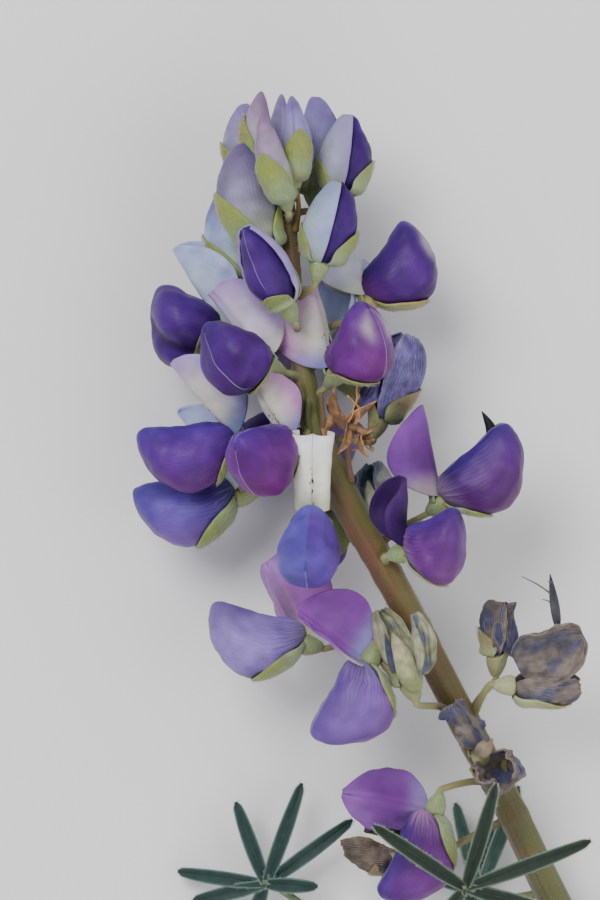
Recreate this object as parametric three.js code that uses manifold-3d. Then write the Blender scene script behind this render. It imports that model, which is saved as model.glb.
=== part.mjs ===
// A cut lupin flower spike, lying on its back on a flat surface.
// Millimetres, +Z up, +Y towards the tip of the spike, +X to its right seen from above.
// Every flower is a row: where its calyx sits, where its wings end and where its banner ends.
import * as THREE from "three";
import { mergeVertices } from "three/addons/utils/BufferGeometryUtils.js";
import Module from "manifold-3d";

const wasm = await Module();
wasm.setup();

// ---- Driving dimensions -------------------------------------------------------------------------
const ORIGIN_SHIFT = [-10.73, 14.42, 0]; // brings the middle of the bounding box over the origin
const PETAL = 0.6; // thickness of every petal and leaflet
const GAP = 0.3; // clearance between pieces that touch
const WING_HEIGHT = 9.2; // an open flower's wing pair, from keel seam to upper edge
const WING_WIDTH = 8.2; // the same pair across its two cheeks
const CROWN = 0.5; // power of the swell that the upper edge of open wings follows: nearly straight
const PINCH = 0.16; // how much wider open wings are at the keel than at their upper edge
const BANNER_WIDTH = 14.4; // an open flower's banner, flattened
const BANNER_RIDGE = 1.5; // radius of the crease along the middle of a banner
const PEDICEL = 0.6; // radius of a flower stalk
const KNOB = 1.7; // radius of the cup of a calyx
const KEEL = 0.95; // radius of a keel at its thickest
const CLAW = 0.9; // where the petals start, ahead of the cup
const LIP_OFFSET = 1; // middle of a calyx lip outside the middle of the petal it holds
const LIP_REACH = 0.52; // how far along the flower a calyx lip reaches, of its length

// The rachis: centre line and radius, from its tip down to the cut.
const RACHIS = [
  [-2.2, 38.4, 19.4, 0.6], [-1.7, 32.9, 19.3, 1.0], [-1.2, 26, 19, 1.15], [-0.5, 17, 19, 1.3],
  [1.1, 7, 19, 1.6], [3.4, -0.8, 18.9, 1.8], [7.6, -9.2, 18.4, 1.95], [13.3, -19.2, 16.9, 2.1],
  [18.6, -29.4, 14.8, 2.15], [24.2, -40.3, 12.2, 2.15], [29.7, -50.7, 9.6, 2.15],
  [35.3, -62.3, 6.5, 2.2], [42.8, -77.6, 1.7, 2.3],
];
const WHORL = { from: 2, to: -12, swell: 0.25 }; // the thick joint where old stalks have dropped

// Closed buds: base, tip, side the banner ridge is on, radius, height on the rachis of the stalk's foot.
const BUDS = [
  { id: "01", base: [-5.6, 36.8, 16.4], tip: [-8, 48.8, 15], ridge: [0.9, 0.2, 0], r: 2.6, foot: 31 },
  {
    id: "02", base: [-4.8, 38.8, 20.4], tip: [-5.4, 50.2, 20.6],
    ridge: [1, 0, -0.2], r: 1.9, foot: 34,
  },
  {
    id: "03", base: [-2, 34.6, 24], tip: [-5.3, 46.8, 27.2],
    ridge: [0.4, 0, -0.9], r: 2.3, foot: 31.5,
  },
  {
    id: "04", base: [-0.8, 37.4, 22], tip: [-1.2, 49.4, 23],
    ridge: [-0.3, 0, -0.95], r: 2.3, foot: 33,
  },
  { id: "05", base: [-2.2, 38.6, 15.8], tip: [-2.6, 50.2, 15], ridge: [0.2, 0, 1], r: 2.1, foot: 34.5 },
  { id: "06", base: [1.8, 36, 16.2], tip: [2.2, 49.8, 16], ridge: [-0.95, 0.1, 0.1], r: 2.6, foot: 32 },
  {
    id: "08", base: [-4.8, 28, 21.6], tip: [-8.4, 42.8, 22],
    ridge: [0.9, 0.3, -0.3], r: 3.4, foot: 25,
  },
  {
    id: "09", base: [-6.8, 24, 15], tip: [-10.6, 37, 12.4],
    ridge: [0.85, 0.4, 0.1], r: 3.2, foot: 20.5,
  },
];

// Young flowers, whose banner still cloaks the wings.
const YOUNG = [
  {
    id: "07", base: [5.4, 35, 19.2], tip: [7.3, 46.8, 18.6],
    ridge: [-0.95, 0.1, 0], h: 6, w: 4.6, foot: 27,
  },
  {
    id: "10", base: [2.6, 25.2, 22.4], tip: [5.8, 37.2, 23.4],
    ridge: [-0.95, -0.1, -0.1], h: 6.2, w: 4.8, foot: 20,
  },
  {
    id: "11", base: [-1.6, 19.4, 24.6], tip: [-7.8, 30.6, 28.6],
    ridge: [0.35, 0.3, -0.88], h: 5.4, w: 5.2, foot: 16,
  },
];

// Open flowers: base of the petals, end of the wings, end of the banner's ridge, then what differs
// from the usual one. fold, wrap, roll and twist are in degrees: how far each banner half folds back,
// how far round the wings close, and the turn of the wings and of the banner about their own lengths.
const OPEN = [
  {
    id: "01", base: [-10, 15.6, 15], tip: [-21.4, 19.4, 13.6],
    apex: [-18.9, 27.7, 15.5], wrap: 150, roll: 58, w: 11, foot: 14,
  },
  { id: "02", base: [-3.8, 11.4, 23], tip: [-12.8, 14.4, 29], apex: [-13, 21.8, 23], foot: 9 },
  {
    id: "03", base: [4.8, 10.2, 21], tip: [10.8, 17.8, 26.6],
    apex: [2.8, 23.4, 20.6], fold: 60, foot: 6,
  },
  { id: "04", base: [9.4, 20.4, 14.5], tip: [18, 29.6, 13.6], apex: [8.4, 31.8, 13.5], foot: 14.5 },
  { id: "06", base: [-8, 1.2, 18.4], tip: [-22.2, -1.6, 18], apex: [-19.2, 11.2, 18.6], foot: 2.5 },
  { id: "07", base: [-8, -6.6, 12], tip: [-23, -9.4, 10.4], apex: [-18.4, 4.6, 10.6], foot: -0.5 },
  {
    id: "08", base: [-1, 0.8, 23.6], tip: [-8.6, -1.6, 32],
    apex: [-7.6, 10, 26], banner: 9.4, fold: 60, roll: -20, foot: 4,
  },
  {
    id: "09", base: [1.7, -8.6, 23], tip: [0.8, -17.6, 31.6],
    apex: [1.7, 2.2, 27.4], fold: 74, wrap: 170, foot: -1.5,
  },
  {
    id: "10", keel: true, base: [19.4, -7.8, 17], tip: [31.4, 0.6, 17.6],
    apex: [18.4, 6.6, 17.4], fold: 58, wrap: 140, foot: -14,
  },
  {
    id: "11", keel: true, base: [14, -14.4, 21.6], tip: [23, -12, 24.6],
    apex: [15.4, -3.6, 24.4], banner: 9.6, fold: 60, twist: 38, foot: -17.5,
  },
  {
    id: "13", base: [1.4, -27.6, 14], tip: [-13, -25.6, 14.6],
    apex: [-5.4, -15.8, 13], fold: 40, twist: 55, foot: -25,
  },
  {
    id: "14", keel: true, base: [10, -29, 19], tip: [5.4, -41.6, 19.6],
    apex: [-1, -23.2, 22], fold: 40, twist: -50, foot: -27,
  },
  {
    id: "19", base: [19.2, -50, 15.8], tip: [14.6, -64, 13.6],
    apex: [5.8, -48.4, 16.6], h: 8, w: 7, banner: 11.4, fold: 35, twist: 95, foot: -47,
  },
  { id: "21", base: [-4, 21, 13.4], tip: [-10.4, 17, 0.4], apex: [-8.4, 30.6, 5], foot: 17 },
  { id: "22", base: [5.6, 14, 13], tip: [12.4, 12.4, 0.3], apex: [9.4, 25.4, 4.4], foot: 10 },
  { id: "23", base: [-2.6, 3.6, 13], tip: [-9.6, -2.4, 3.6], apex: [-7.6, 12, 4], foot: 6.5 },
  { id: "24", base: [4.6, -7, 13], tip: [1.6, -17, 5.6], apex: [1.4, 2.4, 4.4], foot: -3 },
];

// Faded and withered flowers: narrow, crumpled wings and banner in one papery piece.
const FADED = [
  {
    id: "05", base: [10.8, 3.4, 15], tip: [15.4, 16.4, 14],
    apex: [11.4, 15.4, 16], h: 7, w: 5, banner: 5, crumple: 0.15, foot: 1,
  },
  {
    id: "12", base: [11.2, -12.6, 12.6], tip: [10.4, -1.6, 10.6],
    apex: [8, -3.6, 13.6], h: 5.4, w: 4.4, banner: 7, crumple: 0.3, foot: -12,
  },
  {
    id: "15", base: [15.6, -33.4, 20], tip: [10.9, -22.4, 19],
    apex: [15.2, -22.6, 23.4], h: 5, w: 4, banner: 5, crumple: 0.2, foot: -37.5,
  },
  {
    id: "16", base: [27.6, -30, 15], tip: [28.2, -21, 15],
    apex: [30.6, -21.4, 15.6], h: 4, w: 3.6, banner: 6, crumple: 0.2, foot: -38.5,
  },
  {
    id: "17", base: [29, -33, 17.4], tip: [39.5, -33, 16.4],
    apex: [39.6, -25.2, 18.8], h: 5, w: 4.4, banner: 11, fold: 25, twist: 95,
    crumple: 0.2, foot: -39.5,
  },
  {
    id: "18", base: [25.4, -43, 16], tip: [28.6, -46.6, 20],
    apex: [21.4, -35.4, 18.6], h: 5.6, w: 6, banner: 6.4, crumple: 0.3, foot: -42,
  },
  {
    id: "20", base: [15, -58.6, 10], tip: [6.4, -56.6, 9.4],
    apex: [9, -54.2, 8], h: 4, w: 3.6, banner: 5, crumple: 0.25, foot: -52,
  },
];

// Dry bracts and a spent anther cluster at the whorl: root, tip and half width of each strip.
const BRACT_CORE = [
  [5, 4.4, 20.6, 1], [6.6, 3.6, 21.8, 1.5], [8.6, 2.6, 22.4, 1.3], [9.8, 1.4, 22, 0.7],
];
const BRACTS = [
  [[5.6, 4.4, 21.6], [4.8, 8.8, 23.6], 0.7], [[6.6, 4, 22.4], [8, 9, 24], 0.7],
  [[6.8, 4, 21.8], [10.6, 6.8, 23.4], 0.6], [[8.2, 3, 22.6], [10.9, 3.6, 24.6], 0.7],
  [[8.6, 2.6, 22.6], [9.4, -1, 24], 0.6], [[6.4, 3.6, 22], [5.2, -0.6, 24.4], 0.6],
];

// Leaves: foot of the leaf stalk on the stem, a point it bends through, hub of the leaflets, their tips.
const LEAVES = [
  {
    name: "leaf_left", colour: 0x2f5a49,
    foot: [38.6, -72.6, 4.4], bend: [14, -72.4, 4], hub: [-4.9, -62, 4.4],
    tips: [[-17.6, -60.4, 1.6], [-9.2, -50.2, 4.4], [0.3, -47.4, 5.6], [7.6, -52.8, 4],
      [2.6, -62.2, 6], [-15.4, -64.6, 2], [-7.4, -68.4, 1.2]],
  },
  {
    name: "leaf_front", colour: 0x2c4f35,
    foot: [37.4, -68.6, 7.4], bend: [30.6, -66.4, 15.2], hub: [23.1, -61.3, 19],
    tips: [[10.1, -52.2, 22.4], [27.4, -46.4, 21.4], [40.9, -54.7, 18], [17.4, -68.6, 17],
      [27.4, -70, 16.6], [33.6, -64, 17.4]],
  },
  {
    name: "leaf_back", colour: 0x5f7f72,
    foot: [34, -63.4, 5.2], bend: [30, -64, 3.6], hub: [25.6, -63.4, 2.6],
    tips: [[22.2, -50.4, 3.2], [28.2, -53.4, 1.4], [31.4, -48, 2.6], [16.4, -60, 1.2]],
  },
];
const LEAFLET_HALF = 1.25; // half width of a leaflet
const LEAFLET_FOOT = 0.35; // its half width where it joins the others
const LEAFLET_CHANNEL = 0.5; // rise of its edges over its midrib, per unit of half width

// ---- Vector and mesh helpers --------------------------------------------------------------------
const vec = (p) => new THREE.Vector3(p[0], p[1], p[2]);
const along = (origin, ...pairs) =>
  pairs.reduce((p, [axis, amount]) => p.addScaledVector(axis, amount), origin.clone());
const steps = (from, to, spans) =>
  Array.from({ length: spans + 1 }, (_, i) => from + ((to - from) * i) / spans);
const count = (n) => Array.from({ length: n }, (_, i) => i);
const across = (axis, towards) =>
  towards.clone().addScaledVector(axis, -towards.dot(axis)).normalize();

// True where every edge has exactly two triangles.
function isPaired(triangles) {
  const uses = new Map();
  for (const [a, b, c] of triangles) {
    for (const [p, q] of [[a, b], [b, c], [c, a]]) {
      const key = Math.min(p, q) + ":" + Math.max(p, q);
      uses.set(key, (uses.get(key) ?? 0) + 1);
    }
  }
  return [...uses.values()].every((n) => n === 2);
}

// A three.js geometry as a manifold solid, vertices closer than a tolerance made one.
function manifoldOf(geometry, tolerance = 1e-4) {
  const merged = mergeVertices(geometry, tolerance);
  const at = merged.index.array;
  const triVerts = count(at.length / 3)
    .map((i) => [at[3 * i], at[3 * i + 1], at[3 * i + 2]])
    .filter(([a, b, c]) => a !== b && b !== c && c !== a);
  if (!isPaired(triVerts)) return null;
  return new wasm.Manifold(
    new wasm.Mesh({
      numProp: 3,
      vertProperties: merged.attributes.position.array,
      triVerts: new Uint32Array(triVerts.flat()),
    }),
  );
}

// A closed mesh as a manifold solid, turned right side out.
function solid(positions, triangles) {
  const made = manifoldOf(new THREE.BufferGeometry().setFromPoints(positions).setIndex(triangles));
  return made.volume() < 0 ? solid(positions, triangles.reverse()) : made;
}

function geometryOf(shape) {
  const mesh = shape.getMesh();
  const geometry = new THREE.BufferGeometry();
  geometry.setAttribute("position", new THREE.BufferAttribute(new Float32Array(mesh.vertProperties), 3));
  geometry.setIndex(new THREE.BufferAttribute(new Uint32Array(mesh.triVerts), 1));
  return geometry;
}

// Welds the slivers that cuts leave, with the widest weld that keeps the shape closed and whole.
function welded(shape) {
  for (const tolerance of [0.12, 0.08, 0.06, 0.04, 0.03, 0.02, 0.01, 0.005, 0.002]) {
    const made = manifoldOf(geometryOf(shape), tolerance);
    const whole = made && made.decompose().length === 1;
    if (whole && Math.abs(made.volume() / shape.volume() - 1) < 0.01) return made;
  }
  throw new Error("a piece has edges that touch: move it a little");
}

// A sheet point(u, v) given a thickness along its normals and closed round its rim.
function blade(point, us, vs, thick) {
  const nudge = 1e-3;
  const front = [];
  const back = [];
  for (const u of us) {
    for (const v of vs) {
      const p = point(u, v);
      const du = point(u + nudge, v).sub(point(u - nudge, v));
      const dv = point(u, v + nudge).sub(point(u, v - nudge));
      const normal = du.cross(dv).normalize();
      front.push(along(p, [normal, thick / 2]));
      back.push(along(p, [normal, -thick / 2]));
    }
  }
  const cols = vs.length;
  const rows = us.length;
  const other = front.length;
  const at = (i, j) => i * cols + j;
  const triangles = [];
  for (let i = 0; i + 1 < rows; i++) {
    for (let j = 0; j + 1 < cols; j++) {
      const [a, b, c, d] = [at(i, j), at(i + 1, j), at(i + 1, j + 1), at(i, j + 1)];
      const halves = j < (cols - 1) / 2 ? [a, b, c, a, c, d] : [a, b, d, b, c, d];
      for (let k = 0; k < 6; k += 3) {
        const [p, q, r] = halves.slice(k, k + 3);
        triangles.push(p, q, r, p + other, r + other, q + other);
      }
    }
  }
  const rim = [
    ...count(rows - 1).map((i) => at(i, 0)),
    ...count(cols - 1).map((j) => at(rows - 1, j)),
    ...count(rows - 1).map((i) => at(rows - 1 - i, cols - 1)),
    ...count(cols - 1).map((j) => at(0, cols - 1 - j)),
  ];
  rim.forEach((a, k) => {
    const b = rim[(k + 1) % rim.length];
    triangles.push(b, a, a + other, b, a + other, b + other);
  });
  return solid([...front, ...back], triangles);
}

// A skin over rings of equal count, with a fan closing each end.
function loft(rings) {
  const sides = rings[0].length;
  const positions = rings.flat();
  const triangles = [];
  for (let i = 0; i + 1 < rings.length; i++) {
    for (let j = 0; j < sides; j++) {
      const k = (j + 1) % sides;
      const [a, b, c, d] = [i * sides + j, (i + 1) * sides + j, (i + 1) * sides + k, i * sides + k];
      triangles.push(a, b, c, a, c, d);
    }
  }
  for (const [ring, turn] of [[0, false], [rings.length - 1, true]]) {
    const middle = rings[ring].reduce((sum, p) => sum.add(p), vec([0, 0, 0])).divideScalar(sides);
    const hub = positions.push(middle) - 1;
    for (let j = 0; j < sides; j++) {
      const [a, b] = [ring * sides + j, ring * sides + ((j + 1) % sides)];
      triangles.push(...(turn ? [b, a, hub] : [a, b, hub]));
    }
  }
  return solid(positions, triangles);
}

// A round bar along a smooth path of [x, y, z, radius] points.
function bar(points, sides, spans, grow = 0) {
  const curve = new THREE.CatmullRomCurve3(points.map(vec), false, "centripetal");
  const radius = (t) => {
    const s = t * (points.length - 1);
    const i = Math.min(Math.floor(s), points.length - 2);
    return THREE.MathUtils.lerp(points[i][3], points[i + 1][3], s - i) + grow;
  };
  const first = curve.getTangent(0);
  let side = across(first, Math.abs(first.z) < 0.8 ? vec([0, 0, 1]) : vec([1, 0, 0]));
  return loft(
    steps(0, 1, spans).map((t) => {
      const tangent = curve.getTangent(t);
      side = across(tangent, side);
      const other = tangent.clone().cross(side);
      return steps(0, sides - 1, sides - 1).map((k) => {
        const a = (2 * Math.PI * k) / sides;
        const [c, s] = [Math.cos(a) * radius(t), Math.sin(a) * radius(t)];
        return along(curve.getPoint(t), [side, c], [other, s]);
      });
    }),
  );
}

const join = (pieces) => wasm.Manifold.union(pieces);

// ---- Frames of a flower -------------------------------------------------------------------------
// forward runs along the wings, up points to the banner, side is square to both.
const lengthOf = (row) => vec(row.tip).distanceTo(vec(row.base));

function frameOf(row, roll = row.roll ?? 0) {
  const base = vec(row.base);
  const reach = vec(row.tip).sub(base);
  const forward = reach.clone().normalize();
  const towards = row.apex ? vec(row.apex).sub(base) : vec(row.ridge);
  const up = across(forward, towards).applyAxisAngle(forward, THREE.MathUtils.degToRad(roll));
  const side = forward.clone().cross(up);
  return { base, forward, up, side, length: reach.length() };
}

// Outline of a wing pair from its claw (0) to its round end (1).
function wingSwell(u) {
  const fromMiddle = Math.abs(2 * Math.max(u, 0) ** 1.12 - 1);
  return Math.max(1 - fromMiddle ** 2.3, 0) ** 0.45;
}

// A half wave whose crest sits nearer the claw the smaller its lean is.
const halfWave = (u, lean, fullness) =>
  Math.max(Math.sin(Math.PI * Math.max(u, 0) ** lean), 0) ** fullness;
const bannerSwell = (u) => halfWave(u, 0.8, 0.62); // round, with a pointed end
const budSwell = (u) => halfWave(u, 0.72, 0.7); // widest low down, pointed
const leafletSwell = (u) => halfWave(u, 0.85, 0.7); // lance-shaped

// A wing pair is one boat: v runs round its U section, open towards the banner.
function wingSheet(row, grow = 0) {
  const { base, forward, up, side, length } = frameOf(row);
  const wrap = THREE.MathUtils.degToRad(row.wrap ?? (row.crumple ? 80 : 156));
  const [h, w] = [row.h ?? WING_HEIGHT, row.w ?? WING_WIDTH];
  const crumple = row.crumple ?? 0;
  const open = !row.ridge && !row.crumple;
  return (u, v) => {
    const b = row.ridge ? budSwell(u) : wingSwell(u);
    const a = v * wrap;
    const high = 0.4 * h * (open ? b ** CROWN : b);
    const low = high - h * b - grow;
    const rise = low + ((high - low) * (1 - Math.cos(a))) / (1 - Math.cos(wrap));
    const ruffle = crumple * Math.sin(6 * u + 3 * v + row.base[0]);
    const pinch = open ? 1 + PINCH * Math.cos(a) : 1;
    const out = (0.5 * w * b * pinch + grow) * Math.sin(a) + ruffle;
    return along(base, [forward, CLAW + (length - CLAW) * u], [up, rise + ruffle], [side, out]);
  };
}

// How far above the flower's axis a banner starts: clear of the wings' edges on a withered one.
const liftOf = (row) => (row.crumple ? 0.4 * row.h + 1.2 : 0.9);

// A banner is a round sheet creased along its ridge, its halves folded back from the wings.
function bannerSheet(row, grow = 0) {
  const { base: foot, forward, up, side: level } = frameOf(row, 0);
  const base = along(foot, [forward, CLAW], [up, liftOf(row)]);
  const reach = vec(row.apex).sub(base);
  const length = reach.length();
  const ridge = reach.clone().normalize();
  const twist = THREE.MathUtils.degToRad(row.twist ?? 0);
  const back = across(ridge, forward).negate().applyAxisAngle(ridge, twist);
  const side = across(ridge, level).applyAxisAngle(ridge, twist);
  const fold = THREE.MathUtils.degToRad(row.fold ?? 68);
  const half = (row.banner ?? BANNER_WIDTH) / 2;
  const crumple = row.crumple ?? 0;
  const bend = BANNER_RIDGE * fold;
  return (u, v) => {
    const s = Math.abs(v) * half * bannerSwell(u);
    const turn = Math.min(s, bend) / BANNER_RIDGE;
    const past = Math.max(s - bend, 0);
    const out = BANNER_RIDGE * Math.sin(turn) + past * Math.cos(fold);
    const away = BANNER_RIDGE * (1 - Math.cos(turn)) + past * Math.sin(fold);
    const curl = 0.1 * length * u * u;
    const ruffle = crumple * Math.sin(5 * u - 3 * v + row.base[1]);
    return along(
      base,
      [ridge, length * u + ruffle],
      [back, away + curl + grow + ruffle],
      [side, Math.sign(v) * out + ruffle],
    );
  };
}

// A young banner is a cloak over the wings, open on the keel side.
function cloakSheet(row, grow = 0) {
  const { base, forward, up, side, length } = frameOf(row);
  const wrap = THREE.MathUtils.degToRad(104);
  return (u, v) => {
    const b = budSwell(u);
    const a = v * wrap;
    const high = 0.42 * row.h * b + 1.1 + grow;
    const low = -0.1 * row.h * b;
    const rise = high - ((high - low) * (1 - Math.cos(a))) / (1 - Math.cos(wrap));
    const out = (0.5 * row.w * b + 1.1 + grow) * Math.sin(a);
    return along(base, [forward, CLAW + (length - CLAW) * u], [up, rise], [side, out]);
  };
}

// A closed bud: oval rings, a little deeper than wide, creased on the ridge side.
function budSkin(row, grow = 0) {
  const { base, forward, up, side, length } = frameOf(row);
  return (u, a) => {
    const r = row.r * budSwell(u) + grow;
    const crease = 1 + 0.16 * Math.max(Math.cos(a), 0) ** 3;
    const bow = 0.09 * length * Math.sin(Math.PI * u);
    return along(
      base,
      [forward, length * u],
      [up, 1.12 * r * crease * Math.cos(a) - bow],
      [side, 0.9 * r * Math.sin(a)],
    );
  };
}

// ---- Pieces -------------------------------------------------------------------------------------
// Each maker takes extra, the amount its solid grows all round; with GAP it gives the space kept clear.
// A grown sheet is also wider and longer: by this much of its half width, and of its length.
const wider = (extra) => extra / 8;
const longer = (extra) => extra / 60;

function wingPair(row, extra = 0) {
  const edge = 1 + wider(extra);
  const us = [0.03, 0.18, 0.42, 0.68, 0.88, 0.975 + longer(extra)];
  return blade(wingSheet(row), us, steps(-edge, edge, 6), PETAL + 2 * extra);
}

function keel(row, extra = 0) {
  const { base, forward, up, length } = frameOf(row);
  const h = row.h ?? WING_HEIGHT;
  // Along the flower and up from its axis, of its length and height; then how thick.
  const points = [
    [0.1, -0.19, 0.85], [0.35, -0.26, 1], [0.62, -0.16, 0.8], [0.84, 0.16, 0.4],
  ].map(([x, y, thick]) => {
    const p = along(base, [forward, x * length], [up, y * h]);
    return [p.x, p.y, p.z, KEEL * thick];
  });
  return bar(points, 4, 3, extra);
}

function banner(row, extra = 0) {
  const edge = 1 + wider(extra);
  const us = [0.02, 0.2, 0.48, 0.76, 0.97 + longer(extra)];
  return blade(bannerSheet(row), us, [-edge, -0.4, 0, 0.4, edge], PETAL + 2 * extra);
}

function cloak(row, extra = 0) {
  const edge = 1 + wider(extra);
  const us = [0.03, 0.2, 0.45, 0.72, 0.96 + longer(extra)];
  return blade(cloakSheet(row), us, [-edge, -0.6, -0.2, 0.2, 0.6, edge], PETAL + 2 * extra);
}

function bud(row, extra = 0) {
  const skin = budSkin(row, extra);
  const rings = [0.03, 0.16, 0.36, 0.6, 0.82, 0.97 + longer(extra)];
  return loft(rings.map((u) => count(7).map((k) => skin(u, (k * 2 * Math.PI) / 7))));
}

// The rachis point at a given height up the spike.
function onRachis(height) {
  const upper = RACHIS.findIndex((p, i) => i + 1 < RACHIS.length && RACHIS[i + 1][1] <= height);
  const [a, b] = [RACHIS[upper], RACHIS[upper + 1]];
  const t = (height - a[1]) / (b[1] - a[1]);
  return a.map((value, i) => THREE.MathUtils.lerp(value, b[i], t));
}

// Distance from a flower's axis down to the middle of its calyx lip, at forward fraction u.
function lipDepth(row, u) {
  if (row.r) return 1.12 * row.r * budSwell(u) + 0.09 * lengthOf(row) * Math.sin(Math.PI * u) + 0.8;
  return 0.6 * (row.h ?? WING_HEIGHT) * (row.ridge ? budSwell(u) : wingSwell(u)) + LIP_OFFSET;
}

// Stalk, cup and lower lip of a calyx in one skin, its root sunk to the middle of the rachis.
// Rings of the stalk are square to its path, rings of the cup and lip are square to the flower.
function stalk(row, extra) {
  const { base, forward, up, side, length } = frameOf(row);
  const foot = vec(onRachis(row.foot));
  const size = row.r ? Math.min(row.r / 2.9, 1) : 0.95;
  const wide = row.r ? row.r * 0.8 : 2;
  const ring = (centre, across1, across2, a, b) =>
    count(5).map((k) => {
      const turn = ((2 * k + 0.5) * Math.PI) / 5;
      const [out1, out2] = [(a + extra) * Math.cos(turn), (b + extra) * Math.sin(turn)];
      return along(centre, [across1, out1], [across2, out2]);
    });
  const flat = (x, drop, b, a) => ring(along(base, [forward, x], [up, -drop]), side, up, a, b);
  const cup = KNOB * size;
  const [mid, end] = [0.3, LIP_REACH];
  const head = [
    flat(-1.1 * size, 0, cup * 0.84, cup * 0.84),
    flat(CLAW + 0.1, lipDepth(row, 0.03), 0.4, wide * 0.75),
    flat(mid * length, lipDepth(row, mid), 0.38, wide),
    flat(end * length, lipDepth(row, end) - 0.15, 0.32, 0.4),
  ];
  const behind = along(base, [forward, -2.6 * size]);
  const middle = foot.clone().lerp(behind, 0.5).add(vec([0, 0.5, 0]));
  const path = [behind, middle, foot];
  const rings = [];
  let [along1, along2] = [side, up];
  let last = base;
  for (const point of path) {
    const heading = last.clone().sub(point).normalize();
    along2 = across(heading, along2);
    along1 = heading.clone().cross(along2).normalize();
    rings.unshift(ring(point, along1, along2, PEDICEL, PEDICEL));
    last = point;
  }
  return loft([...rings, ...head]);
}

function stemPieces(extra) {
  const flowers = [...BUDS, ...YOUNG, ...OPEN, ...FADED];
  const shaft = RACHIS.map(([x, y, z, r]) => {
    const thick = y < WHORL.from && y > WHORL.to ? WHORL.swell : 0;
    return [x, y, z, r + thick];
  });
  return [bar(shaft, 8, 13, extra), ...flowers.map((row) => stalk(row, extra))];
}

function witheredFlower(row, extra = 0) {
  const edge = 1 + wider(extra);
  const thick = PETAL + 2 * extra;
  const wings = blade(wingSheet(row), [0.03, 0.35, 0.7, 0.95], steps(-edge, edge, 4), thick);
  const sheet = blade(bannerSheet(row), [0.02, 0.3, 0.66, 0.96], steps(-edge, edge, 4), thick);
  const { base, forward, up } = frameOf(row);
  const from = along(base, [forward, CLAW], [up, -0.6]);
  const to = along(base, [forward, CLAW + 0.3], [up, liftOf(row) + 0.4]);
  const knot = bar([[...from.toArray(), 0.8], [...to.toArray(), 0.8]], 5, 1, extra);
  return join([wings, sheet, knot]);
}

function strip(from, to, half, extra) {
  const axis = vec(to).sub(vec(from));
  const side = across(axis.clone().normalize(), vec([0.5, -0.4, 0.8]));
  const out = axis.clone().cross(side).normalize();
  const sheet = (u, v) => {
    const wide = v * half * (1 - 0.6 * u);
    return along(vec(from), [axis, u], [side, wide], [out, Math.sin(3 * u) * 0.6 + 0.3 * v * u]);
  };
  return blade(sheet, [0, 0.35, 0.7, 1], [-1, 1], PETAL + 2 * extra);
}

function bracts(extra = 0) {
  return join([
    bar(BRACT_CORE, 6, 4, extra),
    ...BRACTS.map(([from, to, half]) => strip(from, to, half, extra)),
  ]);
}

// A leaflet: a lance-shaped sheet channelled along its midrib, its tip drooping.
function leaflet(hub, tip, extra) {
  const run = vec(tip).sub(hub);
  const length = run.length();
  const side = run.clone().cross(vec([0, 0, 1])).normalize();
  const rise = side.clone().cross(run).normalize();
  const sheet = (u, v) => {
    const half = LEAFLET_FOOT + (LEAFLET_HALF - LEAFLET_FOOT) * leafletSwell(u);
    const bow = 0.3 * length * u * (1 - u) ** 0.8;
    return along(hub, [run, u], [side, v * half], [rise, bow + Math.abs(v) * half * LEAFLET_CHANNEL]);
  };
  return blade(sheet, [0.01, 0.3, 0.65, 0.98], [-1, 0, 1], PETAL + 2 * extra);
}

function leaf(plan, extra = 0) {
  const hub = vec(plan.hub);
  const foot = vec(plan.foot);
  const collar = hub.clone().lerp(foot, 0.03);
  const path = [
    [...foot.toArray(), 0.8], [...plan.bend, 0.7], [...collar.toArray(), 0.75], [...hub.toArray(), 0.9],
  ];
  const petiole = bar(path, 5, 4, extra);
  return join([petiole, ...plan.tips.map((tip) => leaflet(hub, tip, extra))]);
}

// ---- Assembly -----------------------------------------------------------------------------------
const spike = new THREE.Group();
const kept = []; // the space that each finished piece keeps clear

const touches = (a, b) =>
  [0, 1, 2].every((k) => a.min[k] < b.max[k] && b.min[k] < a.max[k]);
const largest = (pieces) => pieces.reduce((a, b) => (b.volume() > a.volume() ? b : a));

function ground() {
  const size = 400;
  const box = new THREE.BoxGeometry(size, size, size).translate(0, 0, -size / 2);
  return manifoldOf(box.deleteAttribute("normal").deleteAttribute("uv"));
}
const floor = ground();

// Adds a piece as a named mesh, cut clear of what is already there and of the floor.
function add(name, make, colour, roughness) {
  let shape = make(0);
  const near = kept.filter((space) => touches(space.boundingBox(), shape.boundingBox()));
  if (near.length) shape = shape.subtract(join(near));
  shape = welded(largest(shape.subtract(floor).decompose()));
  kept.push(make(GAP).add(shape));
  const geometry = geometryOf(shape);
  geometry.computeVertexNormals();
  const material = new THREE.MeshStandardMaterial({ color: colour, roughness, metalness: 0 });
  const node = new THREE.Mesh(geometry, material);
  node.name = name;
  spike.add(node);
}

const VIOLET = 0x5b3a9c;
const MAUVE = 0x8a5fb8;
const CREAM = 0xd9d4e2;
const PINK = 0xa877b8;
const OLD = ["10", "11", "13", "14", "19"];

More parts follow.
